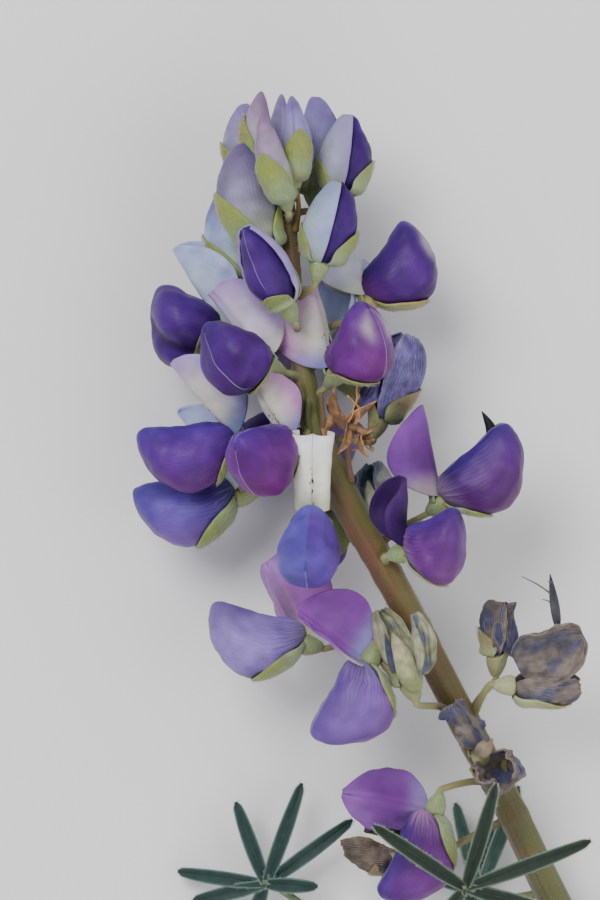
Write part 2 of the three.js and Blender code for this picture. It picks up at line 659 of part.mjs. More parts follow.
add("stem", (extra) => join(stemPieces(extra)), 0x7d7440, 0.6);
for (const row of YOUNG) {
  add(`bud_${row.id}_wings`, (extra) => wingPair(row, extra), VIOLET, 0.5);
  add(`bud_${row.id}_banner`, (extra) => cloak(row, extra), CREAM, 0.5);
}
for (const row of BUDS) add(`bud_${row.id}`, (extra) => bud(row, extra), 0xb9b3cf, 0.5);
for (const row of OPEN) {
  const aged = OLD.includes(row.id);
  const wings = (extra) => join([wingPair(row, extra), ...(row.keel ? [keel(row, extra)] : [])]);
  add(`bloom_${row.id}_wings`, wings, aged ? MAUVE : VIOLET, 0.45);
  add(`bloom_${row.id}_banner`, (extra) => banner(row, extra), aged ? PINK : CREAM, 0.5);
}
for (const row of FADED) add(`faded_${row.id}`, (extra) => witheredFlower(row, extra), 0x6a6f95, 0.7);
add("dry_bracts", bracts, 0xa06a36, 0.8);
for (const plan of LEAVES) add(plan.name, (extra) => leaf(plan, extra), plan.colour, 0.6);

spike.position.set(...ORIGIN_SHIFT);

export default spike;
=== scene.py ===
"""A cut lupin flower spike lying on its back: petals, calyces, hairs, leaves and the surface under it."""
import math

import bpy
import numpy as np
from bpy.props import FloatProperty, FloatVectorProperty, IntProperty, PointerProperty
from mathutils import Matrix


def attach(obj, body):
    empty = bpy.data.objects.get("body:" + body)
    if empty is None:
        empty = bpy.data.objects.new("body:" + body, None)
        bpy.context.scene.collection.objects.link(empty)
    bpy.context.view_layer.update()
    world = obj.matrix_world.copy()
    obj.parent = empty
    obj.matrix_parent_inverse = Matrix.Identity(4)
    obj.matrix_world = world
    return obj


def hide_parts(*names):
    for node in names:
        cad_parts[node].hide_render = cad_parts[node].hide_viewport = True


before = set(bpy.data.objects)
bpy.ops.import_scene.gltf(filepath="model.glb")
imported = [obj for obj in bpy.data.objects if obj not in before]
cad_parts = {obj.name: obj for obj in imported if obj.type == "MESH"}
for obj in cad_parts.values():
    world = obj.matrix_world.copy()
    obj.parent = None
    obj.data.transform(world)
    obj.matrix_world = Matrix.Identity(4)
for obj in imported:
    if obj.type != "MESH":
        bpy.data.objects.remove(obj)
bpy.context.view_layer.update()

bl_info = {
    "name": "Lupin Flower Spike",
    "version": (1, 0, 0),
    "blender": (4, 5, 0),
    "location": "View3D > Sidebar > Lupin",
    "description": "Builds a cut lupin flower spike lying on its back",
    "category": "Add Mesh",
}

MM = 0.001
# Places below are in millimetres, +Y to the tip of the spike, +Z up, and move by SHIFT into the frame.
SHIFT = np.array([-10.73, 14.42, 0.0])
BODY = "root"

# ---- The plan of the plant -----------------------------------------------------------------------

# The rachis: centre line and radius, from its tip down to the cut.
RACHIS = np.array([
    [-2.2, 38.4, 19.4, 0.6], [-1.7, 32.9, 19.3, 1.0], [-1.2, 26, 19, 1.15], [-0.5, 17, 19, 1.3],
    [1.1, 7, 19, 1.6], [3.4, -0.8, 18.9, 1.8], [7.6, -9.2, 18.4, 1.95], [13.3, -19.2, 16.9, 2.1],
    [18.6, -29.4, 14.8, 2.15], [24.2, -40.3, 12.2, 2.15], [29.7, -50.7, 9.6, 2.15],
    [35.3, -62.3, 6.5, 2.2], [42.8, -77.6, 1.7, 2.3],
])
WHORL_TOP, WHORL_FOOT = 2.0, -12.0  # heights between which the stem is swollen
CLAW = 0.9  # where the petals start, ahead of the calyx cup
CLOAK_WRAP = 104  # degrees that a young banner goes round the wings, each way
SCROLL_TURN = 250  # degrees that each half of a scrolled banner rolls back
SETTLED = 0.6  # height under which points are pressed onto the surface
FADED_THICKNESS, BRACT_THICKNESS, LEAF_THICKNESS, LIP_THICKNESS = 0.22, 0.16, 0.34, 0.3
# Rows and columns of the grids; a wing pair and a banner take their columns twice.
WING_GRID, BANNER_GRID, CLOAK_GRID, FADED_GRID = (42, 44), (32, 26), (44, 60), (36, 44)
BUD_GRID, LIP_GRID, LEAFLET_GRID, BRACT_GRID = (44, 44), (24, 15), (44, 13), (26, 7)


def flower(base, tip, **more):
    """A flower's plan: where its petals start, where its wings end, and what differs from the usual."""
    return {"base": np.array(base, float), "tip": np.array(tip, float), **more}


BUDS = {
    "01": flower([-5.6, 36.8, 16.4], [-8, 48.8, 15], ridge=[0.9, 0.2, 0], r=2.6, foot=31, skin="pearl",
                 plump=True),
    "02": flower([-4.8, 38.8, 20.4], [-5.4, 50.2, 20.6], ridge=[1, 0, -0.2], r=1.9, foot=34, skin="blush",
                 lip=0.74),
    "03": flower([-2, 34.6, 24], [-5.3, 46.8, 27.2], ridge=[0.4, 0, -0.9], r=2.3, foot=31.5, skin="blush"),
    "04": flower([-0.8, 37.4, 22], [-1.2, 49.4, 23], ridge=[-0.3, 0, -0.95], r=2.3, foot=33, skin="lilac"),
    "05": flower([-2.2, 38.6, 15.8], [-2.6, 50.2, 15], ridge=[0.2, 0, 1], r=2.1, foot=34.5, skin="pearl"),
    "06": flower([1.8, 36, 16.2], [2.2, 49.8, 16], ridge=[-0.95, 0.1, 0.1], r=2.6, foot=32, skin="lilac",
                 plump=True),
    "08": flower([-4.8, 28, 21.6], [-8.4, 42.8, 22], ridge=[0.9, 0.3, -0.3], r=3.4, foot=25, skin="dusk",
                 plump=True),
    "09": flower([-6.8, 24, 15], [-10.6, 37, 12.4], ridge=[0.85, 0.4, 0.1], r=3.2, foot=20.5, skin="frost",
                 plump=True),
}
YOUNG = {
    "07": flower([5.4, 35, 19.2], [7.3, 46.8, 18.6], ridge=[-0.95, 0.1, 0], h=6, w=4.6, foot=27,
                 wings="royal", banner="dove"),
    "10": flower([2.6, 25.2, 22.4], [5.8, 37.2, 23.4], ridge=[-0.95, -0.1, -0.1], h=6.2, w=4.8, foot=20,
                 wings="royal", banner="mist"),
    "11": flower([-1.6, 19.4, 24.6], [-7.8, 30.6, 28.6], ridge=[0.35, 0.3, -0.88], h=5.4, w=5.2, foot=16,
                 wings="royal", banner="lilac", lip=0.24),
}
# fold, wrap, roll and twist are in degrees; the tip highlight is a painted highlight, a pale patch at the tip
# of the wings.
OPEN = {
    "01": flower([-10, 15.6, 15], [-21.4, 19.4, 13.6], apex=[-18.9, 27.7, 15.5], roll=58, w=11, foot=14,
                 wings="royal", banner="frost", lip=0.25, cleft=1.1),
    "02": flower([-3.8, 11.4, 23], [-12.8, 14.4, 29], apex=[-13, 21.8, 23], foot=9,
                 wings="plum", banner="orchid", lip=0.28),
    "03": flower([4.8, 10.2, 21], [10.8, 17.8, 26.6], apex=[2.8, 23.4, 20.6], fold=60, foot=6,
                 wings="magenta", banner="rose", glow=1.0, lip=0.36),
    "04": flower([9.4, 20.4, 14.5], [18, 29.6, 13.6], apex=[8.4, 31.8, 13.5], foot=14.5, spread=42,
                 sepal=("#8f945c", "#a08a4a"), wings="plum", banner="snow", glow=0.9),
    "06": flower([-8, 1.2, 18.4], [-22.2, -1.6, 18], apex=[-19.2, 11.2, 18.6], foot=2.5,
                 wings="iris", banner="cream", lip=0.3),
    "07": flower([-8, -6.6, 12], [-23, -9.4, 10.4], apex=[-18.4, 4.6, 10.6], foot=-0.5,
                 wings="ageing", banner="frost"),
    "08": flower([-1, 0.8, 23.6], [-8.6, -1.6, 32], apex=[-7.6, 10, 26], width=9.4, fold=60, roll=-20,
                 curve=0.5,
                 foot=4, wings="wine", banner="rose", lip=0.3),
    "09": flower([1.7, -8.6, 23], [0.8, -17.6, 31.6], apex=[1.7, 2.2, 27.4], fold=74, foot=-1.5,
                 wings="bluebell", banner="ivory", scroll=1.5, lip=0.3, curve=0.5,
                 halves=("#5a2f8c", "#5c4cac")),
    "10": flower([19.4, -7.8, 17], [31.4, 0.6, 17.6], apex=[18.4, 6.6, 17.4], fold=58, wrap=160, foot=-14,
                 point=0.62, lip=0.34, spread=50, keel=True, wings="veined", banner="violet", beak=True),
    "11": flower([14, -14.4, 21.6], [23, -12, 24.6], apex=[15.4, -3.6, 24.4], width=9.6, fold=60, twist=38,
                 foot=-17.5, spread=46, keel=True, wings="mauve", banner="indigo"),
    "13": flower([1.4, -27.6, 14], [-13, -25.6, 14.6], apex=[-5.4, -15.8, 13], fold=40, twist=55, foot=-25,
                 core=0.02, wings="lavender", banner="pink"),
    "14": flower([10, -29, 19], [5.4, -41.6, 19.6], apex=[-1, -23.2, 22], fold=40, twist=-50, foot=-27,
                 keel=True, wings="heather", banner="fuchsia", rim="#c9bfa8"),
    "19": flower([19.2, -50, 15.8], [14.6, -64, 13.6], apex=[5.8, -48.4, 16.6], h=8, w=7, width=11.4, fold=35,
                 twist=95, foot=-47, point=0.7, wings="mauve", banner="grape"),
    "21": flower([-4, 21, 13.4], [-10.4, 17, 0.4], apex=[-8.4, 30.6, 5], foot=17, curve=0,
                 wings="royal", banner="pearl"),
    "22": flower([5.6, 14, 13], [12.4, 12.4, 0.3], apex=[9.4, 25.4, 4.4], foot=10, curve=0,
                 wings="plum", banner="frost"),
    "23": flower([-2.6, 3.6, 13], [-9.6, -2.4, 3.6], apex=[-7.6, 12, 4], foot=6.5,
                 wings="iris", banner="cream"),
    "24": flower([4.6, -7, 13], [1.6, -17, 5.6], apex=[1.4, 2.4, 4.4], h=7.4, w=6.4, foot=-3,
                 wings="iris", banner="orchid"),
}
FADED = {
    "05": flower([10.8, 3.4, 15], [15.4, 16.4, 14], apex=[11.4, 15.4, 16], h=7, w=5, width=5, crumple=0.06,
                 foot=1, skin="slate"),
    "12": flower([11.2, -12.6, 12.6], [10.4, -1.6, 10.6], apex=[8, -3.6, 13.6], h=5.4, w=4.4, width=7,
                 crumple=0.15, foot=-12, skin="teal",
                 pods=(([11.1, -12.2, 15.4], [9.5, -4.3, 15.2], 1.4, "#8c9a6a", "#b6bb98"),)),
    "15": flower([15.6, -33.4, 20], [10.9, -22.4, 19], apex=[15.2, -22.6, 23.4], h=5, w=4, width=5,
                 crumple=0.0, foot=-37.5, skin="sheath",
                 pods=(([16.2, -33.4, 21.4], [12.8, -25.4, 23.4], 1.75, "#87975a", "#bdb98e"),
                       ([13.2, -31, 22.6], [11.8, -25.6, 23.4], 0.62, "#202e4c", "#1a2a54"))),
    "16": flower([27.6, -30, 15], [28.2, -21, 15], apex=[30.6, -21.4, 15.6], h=4, w=3.6, width=6,
                 crumple=0.2, foot=-38.5, skin="ink"),
    "17": flower([29, -33, 17.4], [39.5, -33, 16.4], apex=[39.6, -25.2, 18.8], h=5, w=4.4, width=11,
                 fold=25, twist=95, crumple=0.1, foot=-39.5, lip=0.9, spread=46, sepal=("#a2a67c", "#8d8a52"),
                 stamens=(([35.2, -20.2, 22.2], [30.9, -17.6, 23], 0.17),
                          ([35, -21.4, 22], [33.7, -20.8, 22.6], 0.14),
                          ([35.1, -18.6, 22.6], [34.4, -18.3, 23], 0.12)),
                 pods=(([36, -24.6, 20.6], [34.8, -17.2, 22.8], 0.68, "#4c4a56", "#1d1f34"),), skin="paper"),
    "18": flower([25.4, -43, 16], [28.6, -46.6, 20], apex=[21.4, -35.4, 18.6], h=5.6, w=6, width=6.4,
                 stamens=(([26.2, -40.6, 21.4], [21.6, -34.7, 22.5], 0.3),), crumple=0.3, foot=-42,
                 pods=(([25, -42.6, 19.8], [26.9, -40.3, 21.4], 1.15, "#7c6d55", "#927f64"),), skin="ink"),
    "20": flower([15, -58.6, 10], [6.4, -56.6, 9.4], apex=[9, -54.2, 8], h=4, w=3.6, width=5,
                 crumple=0.25, foot=-52, skin="umber"),
}
FLOWERS = [row for group in (BUDS, YOUNG, OPEN, FADED) for row in group.values()]
HIDDEN = ("21", "22", "23", "24")  # flowers under the spike, made with coarser grids
OLD = ("10", "11", "13", "14", "19")  # open flowers that have turned mauve and pink

# Old stalks and scars beside the rachis: start, end, radius, colour.
STUBS = [
    ([2.9, 0, 20.4], [2.9, 8, 21.6], 0.5, "#5e4a30"),
    ([7.2, -4.4, 19.8], [6.8, 1.4, 21.4], 0.55, "#6a4c38"),
    ([0.2, 27.6, 20.4], [1.5, 34, 20.8], 0.55, "#77654c"),
    ([-2.6, 31, 20.4], [-3.4, 35.6, 22], 0.5, "#7a7434"),
    ([-0.6, 30.6, 20.6], [-0.4, 36.4, 22.6], 0.45, "#75622c"),
    ([-1.4, 5, 20.6], [-2.6, 10.4, 22.2], 0.5, "#5c5a30"),
    ([0.4, 4.6, 20.6], [-0.2, 9.4, 22], 0.45, "#56552c"),
    ([1.4, 2.4, 20.6], [1.2, 7, 22.2], 0.5, "#50522a"),
    ([-0.8, 1, 20.4], [-1.8, 5.4, 21.6], 0.45, "#565a2e"),
    ([3.6, -4, 20.2], [3, 0.4, 21.4], 0.45, "#5c5230"),
]

# Leaves: foot of the stalk, a point it bends through, hub of the leaflets, their tips.
LEAVES = {
    "leaf_left": ([38.6, -72.6, 4.4], [14, -72.4, 4], [-4.9, -62, 4.4],
                  [[-17.6, -60.4, 1.6], [-9.2, -50.2, 4.4], [0.3, -47.4, 5.6], [7.6, -52.8, 4],
                   [2.6, -62.2, 6], [-15.4, -64.6, 2], [-7.4, -68.4, 1.2]], "teal"),
    "leaf_front": ([37.4, -68.6, 7.4], [30.6, -66.4, 15.2], [23.1, -61.3, 19],
                   [[10.1, -52.2, 22.4], [27.4, -46.4, 21.4], [40.9, -54.7, 18], [17.4, -68.6, 17],
                    [27.4, -70, 16.6], [33.6, -64, 17.4]], "deep"),
    "leaf_back": ([34, -63.4, 5.2], [30, -64, 3.6], [25.6, -63.4, 2.6],
                  [[22.2, -50.4, 3.2], [28.2, -53.4, 1.4], [31.4, -48, 2.6], [16.4, -60, 1.2]], "silver"),
}
# Dry bracts at the whorl: root and tip of each.
BRACTS = [
    ([5.6, 4.4, 21.6], [4.8, 8.8, 23.6]),
    ([6.6, 4, 22.4], [8, 9, 24]),
    ([6.8, 4, 21.8], [10.6, 6.8, 23.4]),
    ([8.2, 3, 22.6], [10.9, 3.6, 24.6]),
    ([8.6, 2.6, 22.6], [9.4, -1, 24]),
    ([6.4, 3.6, 22], [5.2, -0.6, 24.4]),
    ([5.2, 4.8, 21], [3.4, 1.4, 22.8]),
    ([7.4, 3.6, 22.6], [6.6, 7.6, 24.2]),
    ([6, 4, 21.4], [3.6, 6.6, 22.6]),
    ([7.8, 3, 22], [7.4, -0.2, 23.8]),
]
ANTHER_HUB = np.array([8.6, 1.6, 22.6])  # the spent anther cluster in the bracts
ANTHER_LINE = [[5, 4.4, 20.6], [6.6, 3.6, 21.6], [8.6, 2.6, 22.0], [9.4, 1.6, 21.8]]  # its knobbly core


# ---- Paints ---------------------------------------------------------------------------------------

def ink(code):
    """A linear colour from a six-digit web colour."""
    part = np.array([int(code[k:k + 2], 16) for k in (1, 3, 5)]) / 255
    return np.where(part <= 0.04045, part / 12.92, ((part + 0.055) / 1.055) ** 2.4)


# Wings: upper margin, cheek, keel side, claw.
WING_PAINT = {
    "royal": ("#2e1464", "#3a1865", "#43206d", "#36165e"),
    "plum": ("#371a72", "#47206f", "#3f1860", "#642c72"),
    "magenta": ("#46217e", "#642a7e", "#662470", "#74306f"),
    "wine": ("#42227c", "#602272", "#661f66", "#76326c"),
    "iris": ("#3a227e", "#542a7e", "#602670", "#43286e"),
    "ageing": ("#3a2f88", "#584392", "#67488c", "#6c6496"),
    "bluebell": ("#4e479c", "#55429a", "#593689", "#5660ae"),
    "veined": ("#331f6a", "#52266a", "#5c2c66", "#86708e"),
    "mauve": ("#42267a", "#622e78", "#744080", "#8c6690"),
    "lavender": ("#7a66aa", "#806eae", "#7662a2", "#9484b2"),
    "heather": ("#674b9b", "#73539e", "#7a5296", "#8c7ba8"),
}
# Banners: crest, margin, middle, claw.
BANNER_PAINT = {
    "pearl": ("#9f98c2", "#9c98c0", "#b2b4c2", "#b0b8a4"),
    # Darker copies of pearl and frost: painted shade on two young banners.
    "dove": ("#8a84a9", "#8884a7", "#9b9da9", "#99a08f"),
    "mist": ("#8d97bc", "#8f99bc", "#9ba5ae", "#96a499"),
    "snow": ("#b6b8d4", "#b4b4d0", "#c2c4cc", "#b4bca6"),
    "frost": ("#a4b0dc", "#a8b3dc", "#b6c2d6", "#b2c2b4"),
    "lilac": ("#9786c0", "#9a8ac4", "#a89cc8", "#aeadb2"),
    "orchid": ("#ae90c6", "#a284c0", "#bab0c4", "#bcbcae"),
    "rose": ("#b490ae", "#ae7cac", "#bebab0", "#7a7ab4"),
    "cream": ("#a98fca", "#a898c6", "#bcbab0", "#66749c"),
    "ivory": ("#ecebf0", "#eeece8", "#ece9de", "#d2d3ac"),
    "violet": ("#7a429a", "#6e3a8e", "#54246c", "#a09294"),
    "indigo": ("#4a2868", "#381a54", "#241038", "#301c4a"),
    "pink": ("#9c6cb6", "#935aa4", "#7b5c80", "#bcb892"),
    "fuchsia": ("#8647a2", "#783894", "#80489c", "#8e8ec4"),
    "grape": ("#84529f", "#7d4c9b", "#62307a", "#8676ac"),
}
# Closed buds: tip, body, foot.
BUD_PAINT = {
    "pearl": ("#786999", "#8c88a4", "#9ca38e"),
    # A darker copy of pearl: painted shade on one bud.
    "dusk": ("#6b5e86", "#7f7b92", "#8f9481"),
    "blush": ("#8a7090", "#998c9f", "#96a06a"),
    "lilac": ("#7566a2", "#8a86ae", "#999f86"),
    "frost": ("#5f56a0", "#98a4ce", "#a8b8ae"),
}
# Faded petals: two colours in patches, and the rim.
FADED_PAINT = {
    "slate": ("#45327e", "#685ca0", "#817aac"),
    "teal": ("#2f5878", "#a9a8a8", "#7a8692"),
    "ink": ("#2b2f5c", "#6e6258", "#75675a"),
    "paper": ("#454660", "#786a60", "#75675a"),
    "sheath": ("#5c6f8c", "#aaa985", "#8d9670"),
    "umber": ("#2f2523", "#5c4d3e", "#6e5436"),
}
LEAF_PAINT = {
    "teal": ("#132f2b", "#4a6b62"), "deep": ("#0e2012", "#566b58"), "silver": ("#3c5850", "#869a90"),
}
# Painted highlight: the pale line along the keel seam and along the upper margin of the wings.
PAINTED_HIGHLIGHT_LINE = ink("#d8cfe0")
CALYX_FOOT, CALYX_TIP = ink("#84956a"), ink("#7f8c38")
STEM_STOPS = [-80, -52, -30, -14, -8, 3, 9, 20, 40]
STEM_PAINT = np.array([ink(c) for c in (
    "#565830", "#4e4c2c", "#5a4828", "#643f2a", "#5c4628", "#50562a", "#5c5c30", "#664538", "#74613f")])
STEM_GREEN = ink("#585c24")
SPECK = ink("#1a1838")
VEIN_TINT = (0.3, 0.2, 0.5, 1)
# Painted highlight at the tip of the wings, and painted shade along the cleft between parted wings.
PAINTED_TIP_HIGHLIGHT, CLEFT_SHADE = ink("#b9a4b8"), ink("#160c2c")
KEEL_FOOT, KEEL_TIP, BEAK_FOOT, BEAK_TIP = (ink(c) for c in ("#b9b6a0", "#1c1428", "#6a5a78", "#100c18"))
BUD_FOLD = ink("#6a3f86")
OLD_CALYX_FOOT, OLD_CALYX_TIP = ink("#8a8f64"), ink("#86764a")
STALK_END, LEAF_STALK = ink("#8c8a58"), ink("#6c7448")
STAMEN, FILAMENT, BEAD, ANTHER_CORE = (ink(c) for c in ("#6f6a5c", "#a8763f", "#b98850", "#7a4c28"))
BRACT_DARK, BRACT_PALE = ink("#8a5a2c"), ink("#c08a54")
RED_BLUSH, LEAF_RIB, DRY_VEIN = ink("#7a4a34"), ink("#7f9c8c"), ink("#9a9490")
HAIR_PAINT = {"silky_hair": ("#8f9078", "#c4c4b6"), "stem_hair": ("#6d644a", "#97907a")}


# ---- Numpy helpers --------------------------------------------------------------------------------

def unit(a):
    """Vectors along the last axis at length one."""
    return a / np.maximum(np.linalg.norm(a, axis=-1, keepdims=True), 1e-9)


def smooth(low, high, x):
    """A rise from 0 at low to 1 at high with level ends: 3t^2 - 2t^3."""
    t = np.clip((x - low) / (high - low), 0, 1)
    return t * t * (3 - 2 * t)


def blend(a, b, t):
    """Colours a and b mixed by t, which is an array of shares of b."""
    t = np.asarray(t)[..., None]
    return a * (1 - t) + b * t


def turned(v, axis, angle):
    """v turned about a unit axis square to it: v cos + (axis x v) sin."""
    return v * math.cos(angle) + np.cross(axis, v) * math.sin(angle)


def grid(us, vs):
    """Two parameter arrays, one row for each u and one column for each v."""
    return np.meshgrid(us, vs, indexing="ij")


def swirl(points, size, seed, octaves=3):
    """Smooth noise near -1 to 1: sine waves in random directions, of wavelength size and its halves."""
    rng = np.random.default_rng(seed)
    total = 0
    for octave in range(octaves):
        way = unit(rng.normal(size=(9, 3))) * 2 * math.pi * 2 ** octave / size
        waves = np.sin(points @ way.T + rng.uniform(0, 2 * math.pi, 9)).mean(-1)
        total = total + waves * 2.2 * 0.55 ** octave
    return total


def normals(points):
    """Unit normals of a grid of points: the cross product of its two directions of travel."""
    return unit(np.cross(np.gradient(points, axis=0), np.gradient(points, axis=1)))


def catmull(points, t):
    """Points on a uniform Catmull-Rom cubic through the given rows, at t from 0 to 1 along them."""
    points = np.asarray(points, float)
    padded = np.vstack([2 * points[0] - points[1], points, 2 * points[-1] - points[-2]])
    s = np.clip(t, 0, 1) * (len(points) - 1)
    k = np.minimum(s.astype(int), len(points) - 2)
    f = (s - k)[:, None]
    a, b, c, d = (padded[k + n] for n in range(4))
    return b + 0.5 * f * (c - a + f * (2 * a - 5 * b + 4 * c - d + f * (3 * (b - c) + d - a)))


def frames_along(path, first):
    """Two directions square to a path at each point, the first carried along it without turning."""
    tangent = unit(np.gradient(path, axis=0))
    one = np.empty_like(path)
    carried = first
    for k, t in enumerate(tangent):
        carried = unit(carried - t * (carried @ t))
        one[k] = carried
    return one, np.cross(tangent, one)


def sheet_uv(u, v):
    """UV of a sheet: u along it, and v from -1 to 1 brought to 0 to 1 across it."""
    return np.stack([u, (v + 1) / 2], -1)


def marks_of(u, veins=0.0, specks=0.0, seam=0.0):
    """The strengths of veins, specks and the painted highlight on the seam at every point of a grid."""
    return np.stack([veins + 0 * u, specks + 0 * u, seam + 0 * u], -1)


class Patch:
    """A closed skin: a grid of points whose columns wrap round, with a cap at each end.

    paint is its colour and marks the strength of its veins, specks and painted seam highlight, point by
    point;
    uv has one more column than the grid. cap is "fan" for a round end and "flat" for the end of a sheet."""

    def __init__(self, points, uv, paint, marks, cap):
        rows, cols = points.shape[:2]
        self.points = points.reshape(-1, 3)
        self.paint = np.broadcast_to(paint, (rows, cols, 3)).reshape(-1, 3)
        self.marks = np.broadcast_to(marks, (rows, cols, 3)).reshape(-1, 3)
        i, j = grid(np.arange(rows - 1), np.arange(cols))
        k = (j + 1) % cols
        quads = np.stack([i * cols + j, (i + 1) * cols + j, (i + 1) * cols + k, i * cols + k], -1)
        quads = quads.reshape(-1, 4)
        quad_uv = np.stack([uv[i, j], uv[i + 1, j], uv[i + 1, j + 1], uv[i, j + 1]], -2).reshape(-1, 4, 2)
        self.quads, self.quad_uv = [quads], [quad_uv]
        self.tris, self.tri_uv = [np.empty((0, 3), int)], [np.empty((0, 3, 2))]
        for ring, turned_over in ((0, False), (rows - 1, True)):
            at = ring * cols
            if cap == "flat":
                half = cols // 2
                j = np.arange(half - 1)
                face = np.stack([j, j + 1, cols - 2 - j, cols - 1 - j], -1)
                face_uv = uv[ring][face]
                face = face + at
                if turned_over:
                    face, face_uv = face[:, ::-1], face_uv[:, ::-1]
                self.quads.append(face)
                self.quad_uv.append(face_uv)
            else:
                hub = len(self.points)
                ring_points = self.points[at:at + cols]
                self.points = np.vstack([self.points, ring_points.mean(0)])
                self.paint = np.vstack([self.paint, self.paint[at]])
                self.marks = np.vstack([self.marks, self.marks[at]])
                j = np.arange(cols)
                face = np.stack([at + j, at + (j + 1) % cols, np.full(cols, hub)], -1)
                face_uv = np.stack([uv[ring, j], uv[ring, j + 1], uv[ring, j]], -2)
                if turned_over:
                    face, face_uv = face[:, ::-1], face_uv[:, ::-1]
                self.tris.append(face)
                self.tri_uv.append(face_uv)
        self.quads, self.quad_uv = np.vstack(self.quads), np.vstack(self.quad_uv)
        self.tris, self.tri_uv = np.vstack(self.tris), np.vstack(self.tri_uv)
        if self.volume() < 0:
            self.quads, self.quad_uv = self.quads[:, ::-1], self.quad_uv[:, ::-1]
            self.tris, self.tri_uv = self.tris[:, ::-1], self.tri_uv[:, ::-1]

    def volume(self):
        """Six times the volume inside: the sum of corner triple products over all triangles."""
        p, q = self.points, self.quads
        tris = np.vstack([q[:, :3], q[:, [0, 2, 3]], self.tris])
        return np.einsum("ij,ij->i", p[tris[:, 0]], np.cross(p[tris[:, 1]], p[tris[:, 2]])).sum()


def sheet(points, uv, paint, marks, thick):
    """A sheet given a thickness: its points moved half of it each way along the normals, and closed."""
    lift = normals(points) * (np.asarray(thick) / 2)[..., None]
    both = lambda a: np.concatenate([a, a[:, ::-1]], 1)
    shell = np.concatenate([points + lift, (points - lift)[:, ::-1]], 1)
    paint = np.broadcast_to(paint, points.shape)
    marks = np.broadcast_to(marks, points.shape)
    wrap_uv = both(uv)
    wrap_uv = np.concatenate([wrap_uv, wrap_uv[:, :1]], 1)
    return Patch(shell, wrap_uv, both(paint), both(marks), "flat")


def tube(path, radius, sides, paint, marks=(0, 0, 0), first=(0, 0, 1), profile=None):
    """A round skin along a path: path + radius (one cos a + two sin a), profile changing the radius."""
    path = np.asarray(path, float)
    one, two = frames_along(path, unit(np.array(first, float)))
    a = np.arange(sides) * 2 * math.pi / sides
    r = np.broadcast_to(np.asarray(radius, float)[:, None], (len(path), sides))
    if profile is not None:
        r = r * profile(np.linspace(0, 1, len(path))[:, None], a[None, :])
    points = path[:, None] + r[..., None] * (
        one[:, None] * np.cos(a)[None, :, None] + two[:, None] * np.sin(a)[None, :, None])
    u, v = grid(np.linspace(0, 1, len(path)), np.linspace(0, 1, sides + 1))
    paint = np.asarray(paint, float)
    if paint.ndim == 2:
        paint = paint[:, None, :]
    return Patch(points, np.stack([u, v], -1), paint, np.asarray(marks, float), "fan")


def settle(points):
    """Points pressed smoothly on the surface: below h = SETTLED their height z is h exp((z - h) / h)."""
    low = SETTLED * np.exp((np.minimum(points[:, 2], SETTLED) - SETTLED) / SETTLED)
    points[:, 2] = np.where(points[:, 2] < SETTLED, low, points[:, 2])
    return points


def new_mesh(name, points, faces, finish):
    """A smooth mesh from arrays of faces and points, which are settled and moved into the frame."""
    sizes = np.concatenate([np.full(len(f), f.shape[1]) for f in faces])
    mesh = bpy.data.meshes.new(name)
    mesh.vertices.add(len(points))
    mesh.vertices.foreach_set("co", ((settle(points) + SHIFT) * MM).ravel())
    mesh.loops.add(int(sizes.sum()))
    mesh.loops.foreach_set("vertex_index", np.concatenate([f.ravel() for f in faces]))
    mesh.polygons.add(len(sizes))
    mesh.polygons.foreach_set("loop_start", np.cumsum(sizes) - sizes)
    mesh.update(calc_edges=True)
    mesh.polygons.foreach_set("use_smooth", np.ones(len(sizes), bool))
    mesh.materials.append(finished(finish))
    return mesh


def add_piece(name, mesh):
    """Adds a mesh to the scene as an object that rides on the plant."""
    made = bpy.data.objects.new(name, mesh)
    bpy.context.scene.collection.objects.link(made)
    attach(made, BODY)
    return made


def piece(name, patches, finish, slot, *nodes):
    """Joins patches into one object with their colours, marks and UVs, in place of the named nodes."""
    starts = np.cumsum([0] + [len(p.points) for p in patches[:-1]])
    quads = np.vstack([p.quads + s for p, s in zip(patches, starts)])
    tris = np.vstack([p.tris + s for p, s in zip(patches, starts)])
    mesh = new_mesh(name, np.vstack([p.points for p in patches]), (quads, tris), finish)
    uv = np.vstack([p.quad_uv.reshape(-1, 2) for p in patches] + [p.tri_uv.reshape(-1, 2) for p in patches])
    mesh.uv_layers.new(name="UVMap").data.foreach_set("uv", uv.ravel())
    for layer in ("paint", "marks"):
        values = np.vstack([getattr(p, layer) for p in patches])
        values = np.hstack([values, np.ones((len(values), 1))])
        mesh.color_attributes.new(layer, "FLOAT_COLOR", "POINT").data.foreach_set("color", values.ravel())
    if mesh.validate():
        raise RuntimeError(f"{name} has a bad face")
    made = add_piece(name, mesh)
    if nodes:
        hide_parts(*nodes)


# ---- Shapes of a flower ---------------------------------------------------------------------------

def axes_of(row, roll=None):
    """Forward along the wings, up to the banner, side square to both, and the length."""
    reach = row["tip"] - row["base"]
    length = np.linalg.norm(reach)
    forward = reach / length
    towards = row["apex"] - row["base"] if "apex" in row else np.array(row["ridge"], float)
    up = unit(towards - forward * (towards @ forward))
    up = turned(up, forward, math.radians(row.get("roll", 0) if roll is None else roll))
    return forward, up, np.cross(forward, up), length


def placed(row, x, rise, out):
    """Points at base + forward x + up rise + side out, for arrays of the three."""
    forward, up, side, _ = axes_of(row)
    return row["base"] + forward * x[..., None] + up * rise[..., None] + side * out[..., None]


def half_wave(u, lean, fullness):
    """A half sine wave whose crest moves to the claw as lean falls below one."""
    return np.maximum(np.sin(math.pi * np.clip(u, 0, 1) ** lean), 0) ** fullness


def bud_swell(u):
    """Outline of a closed bud: widest low down, pointed."""
    return half_wave(u, 0.72, 0.7)


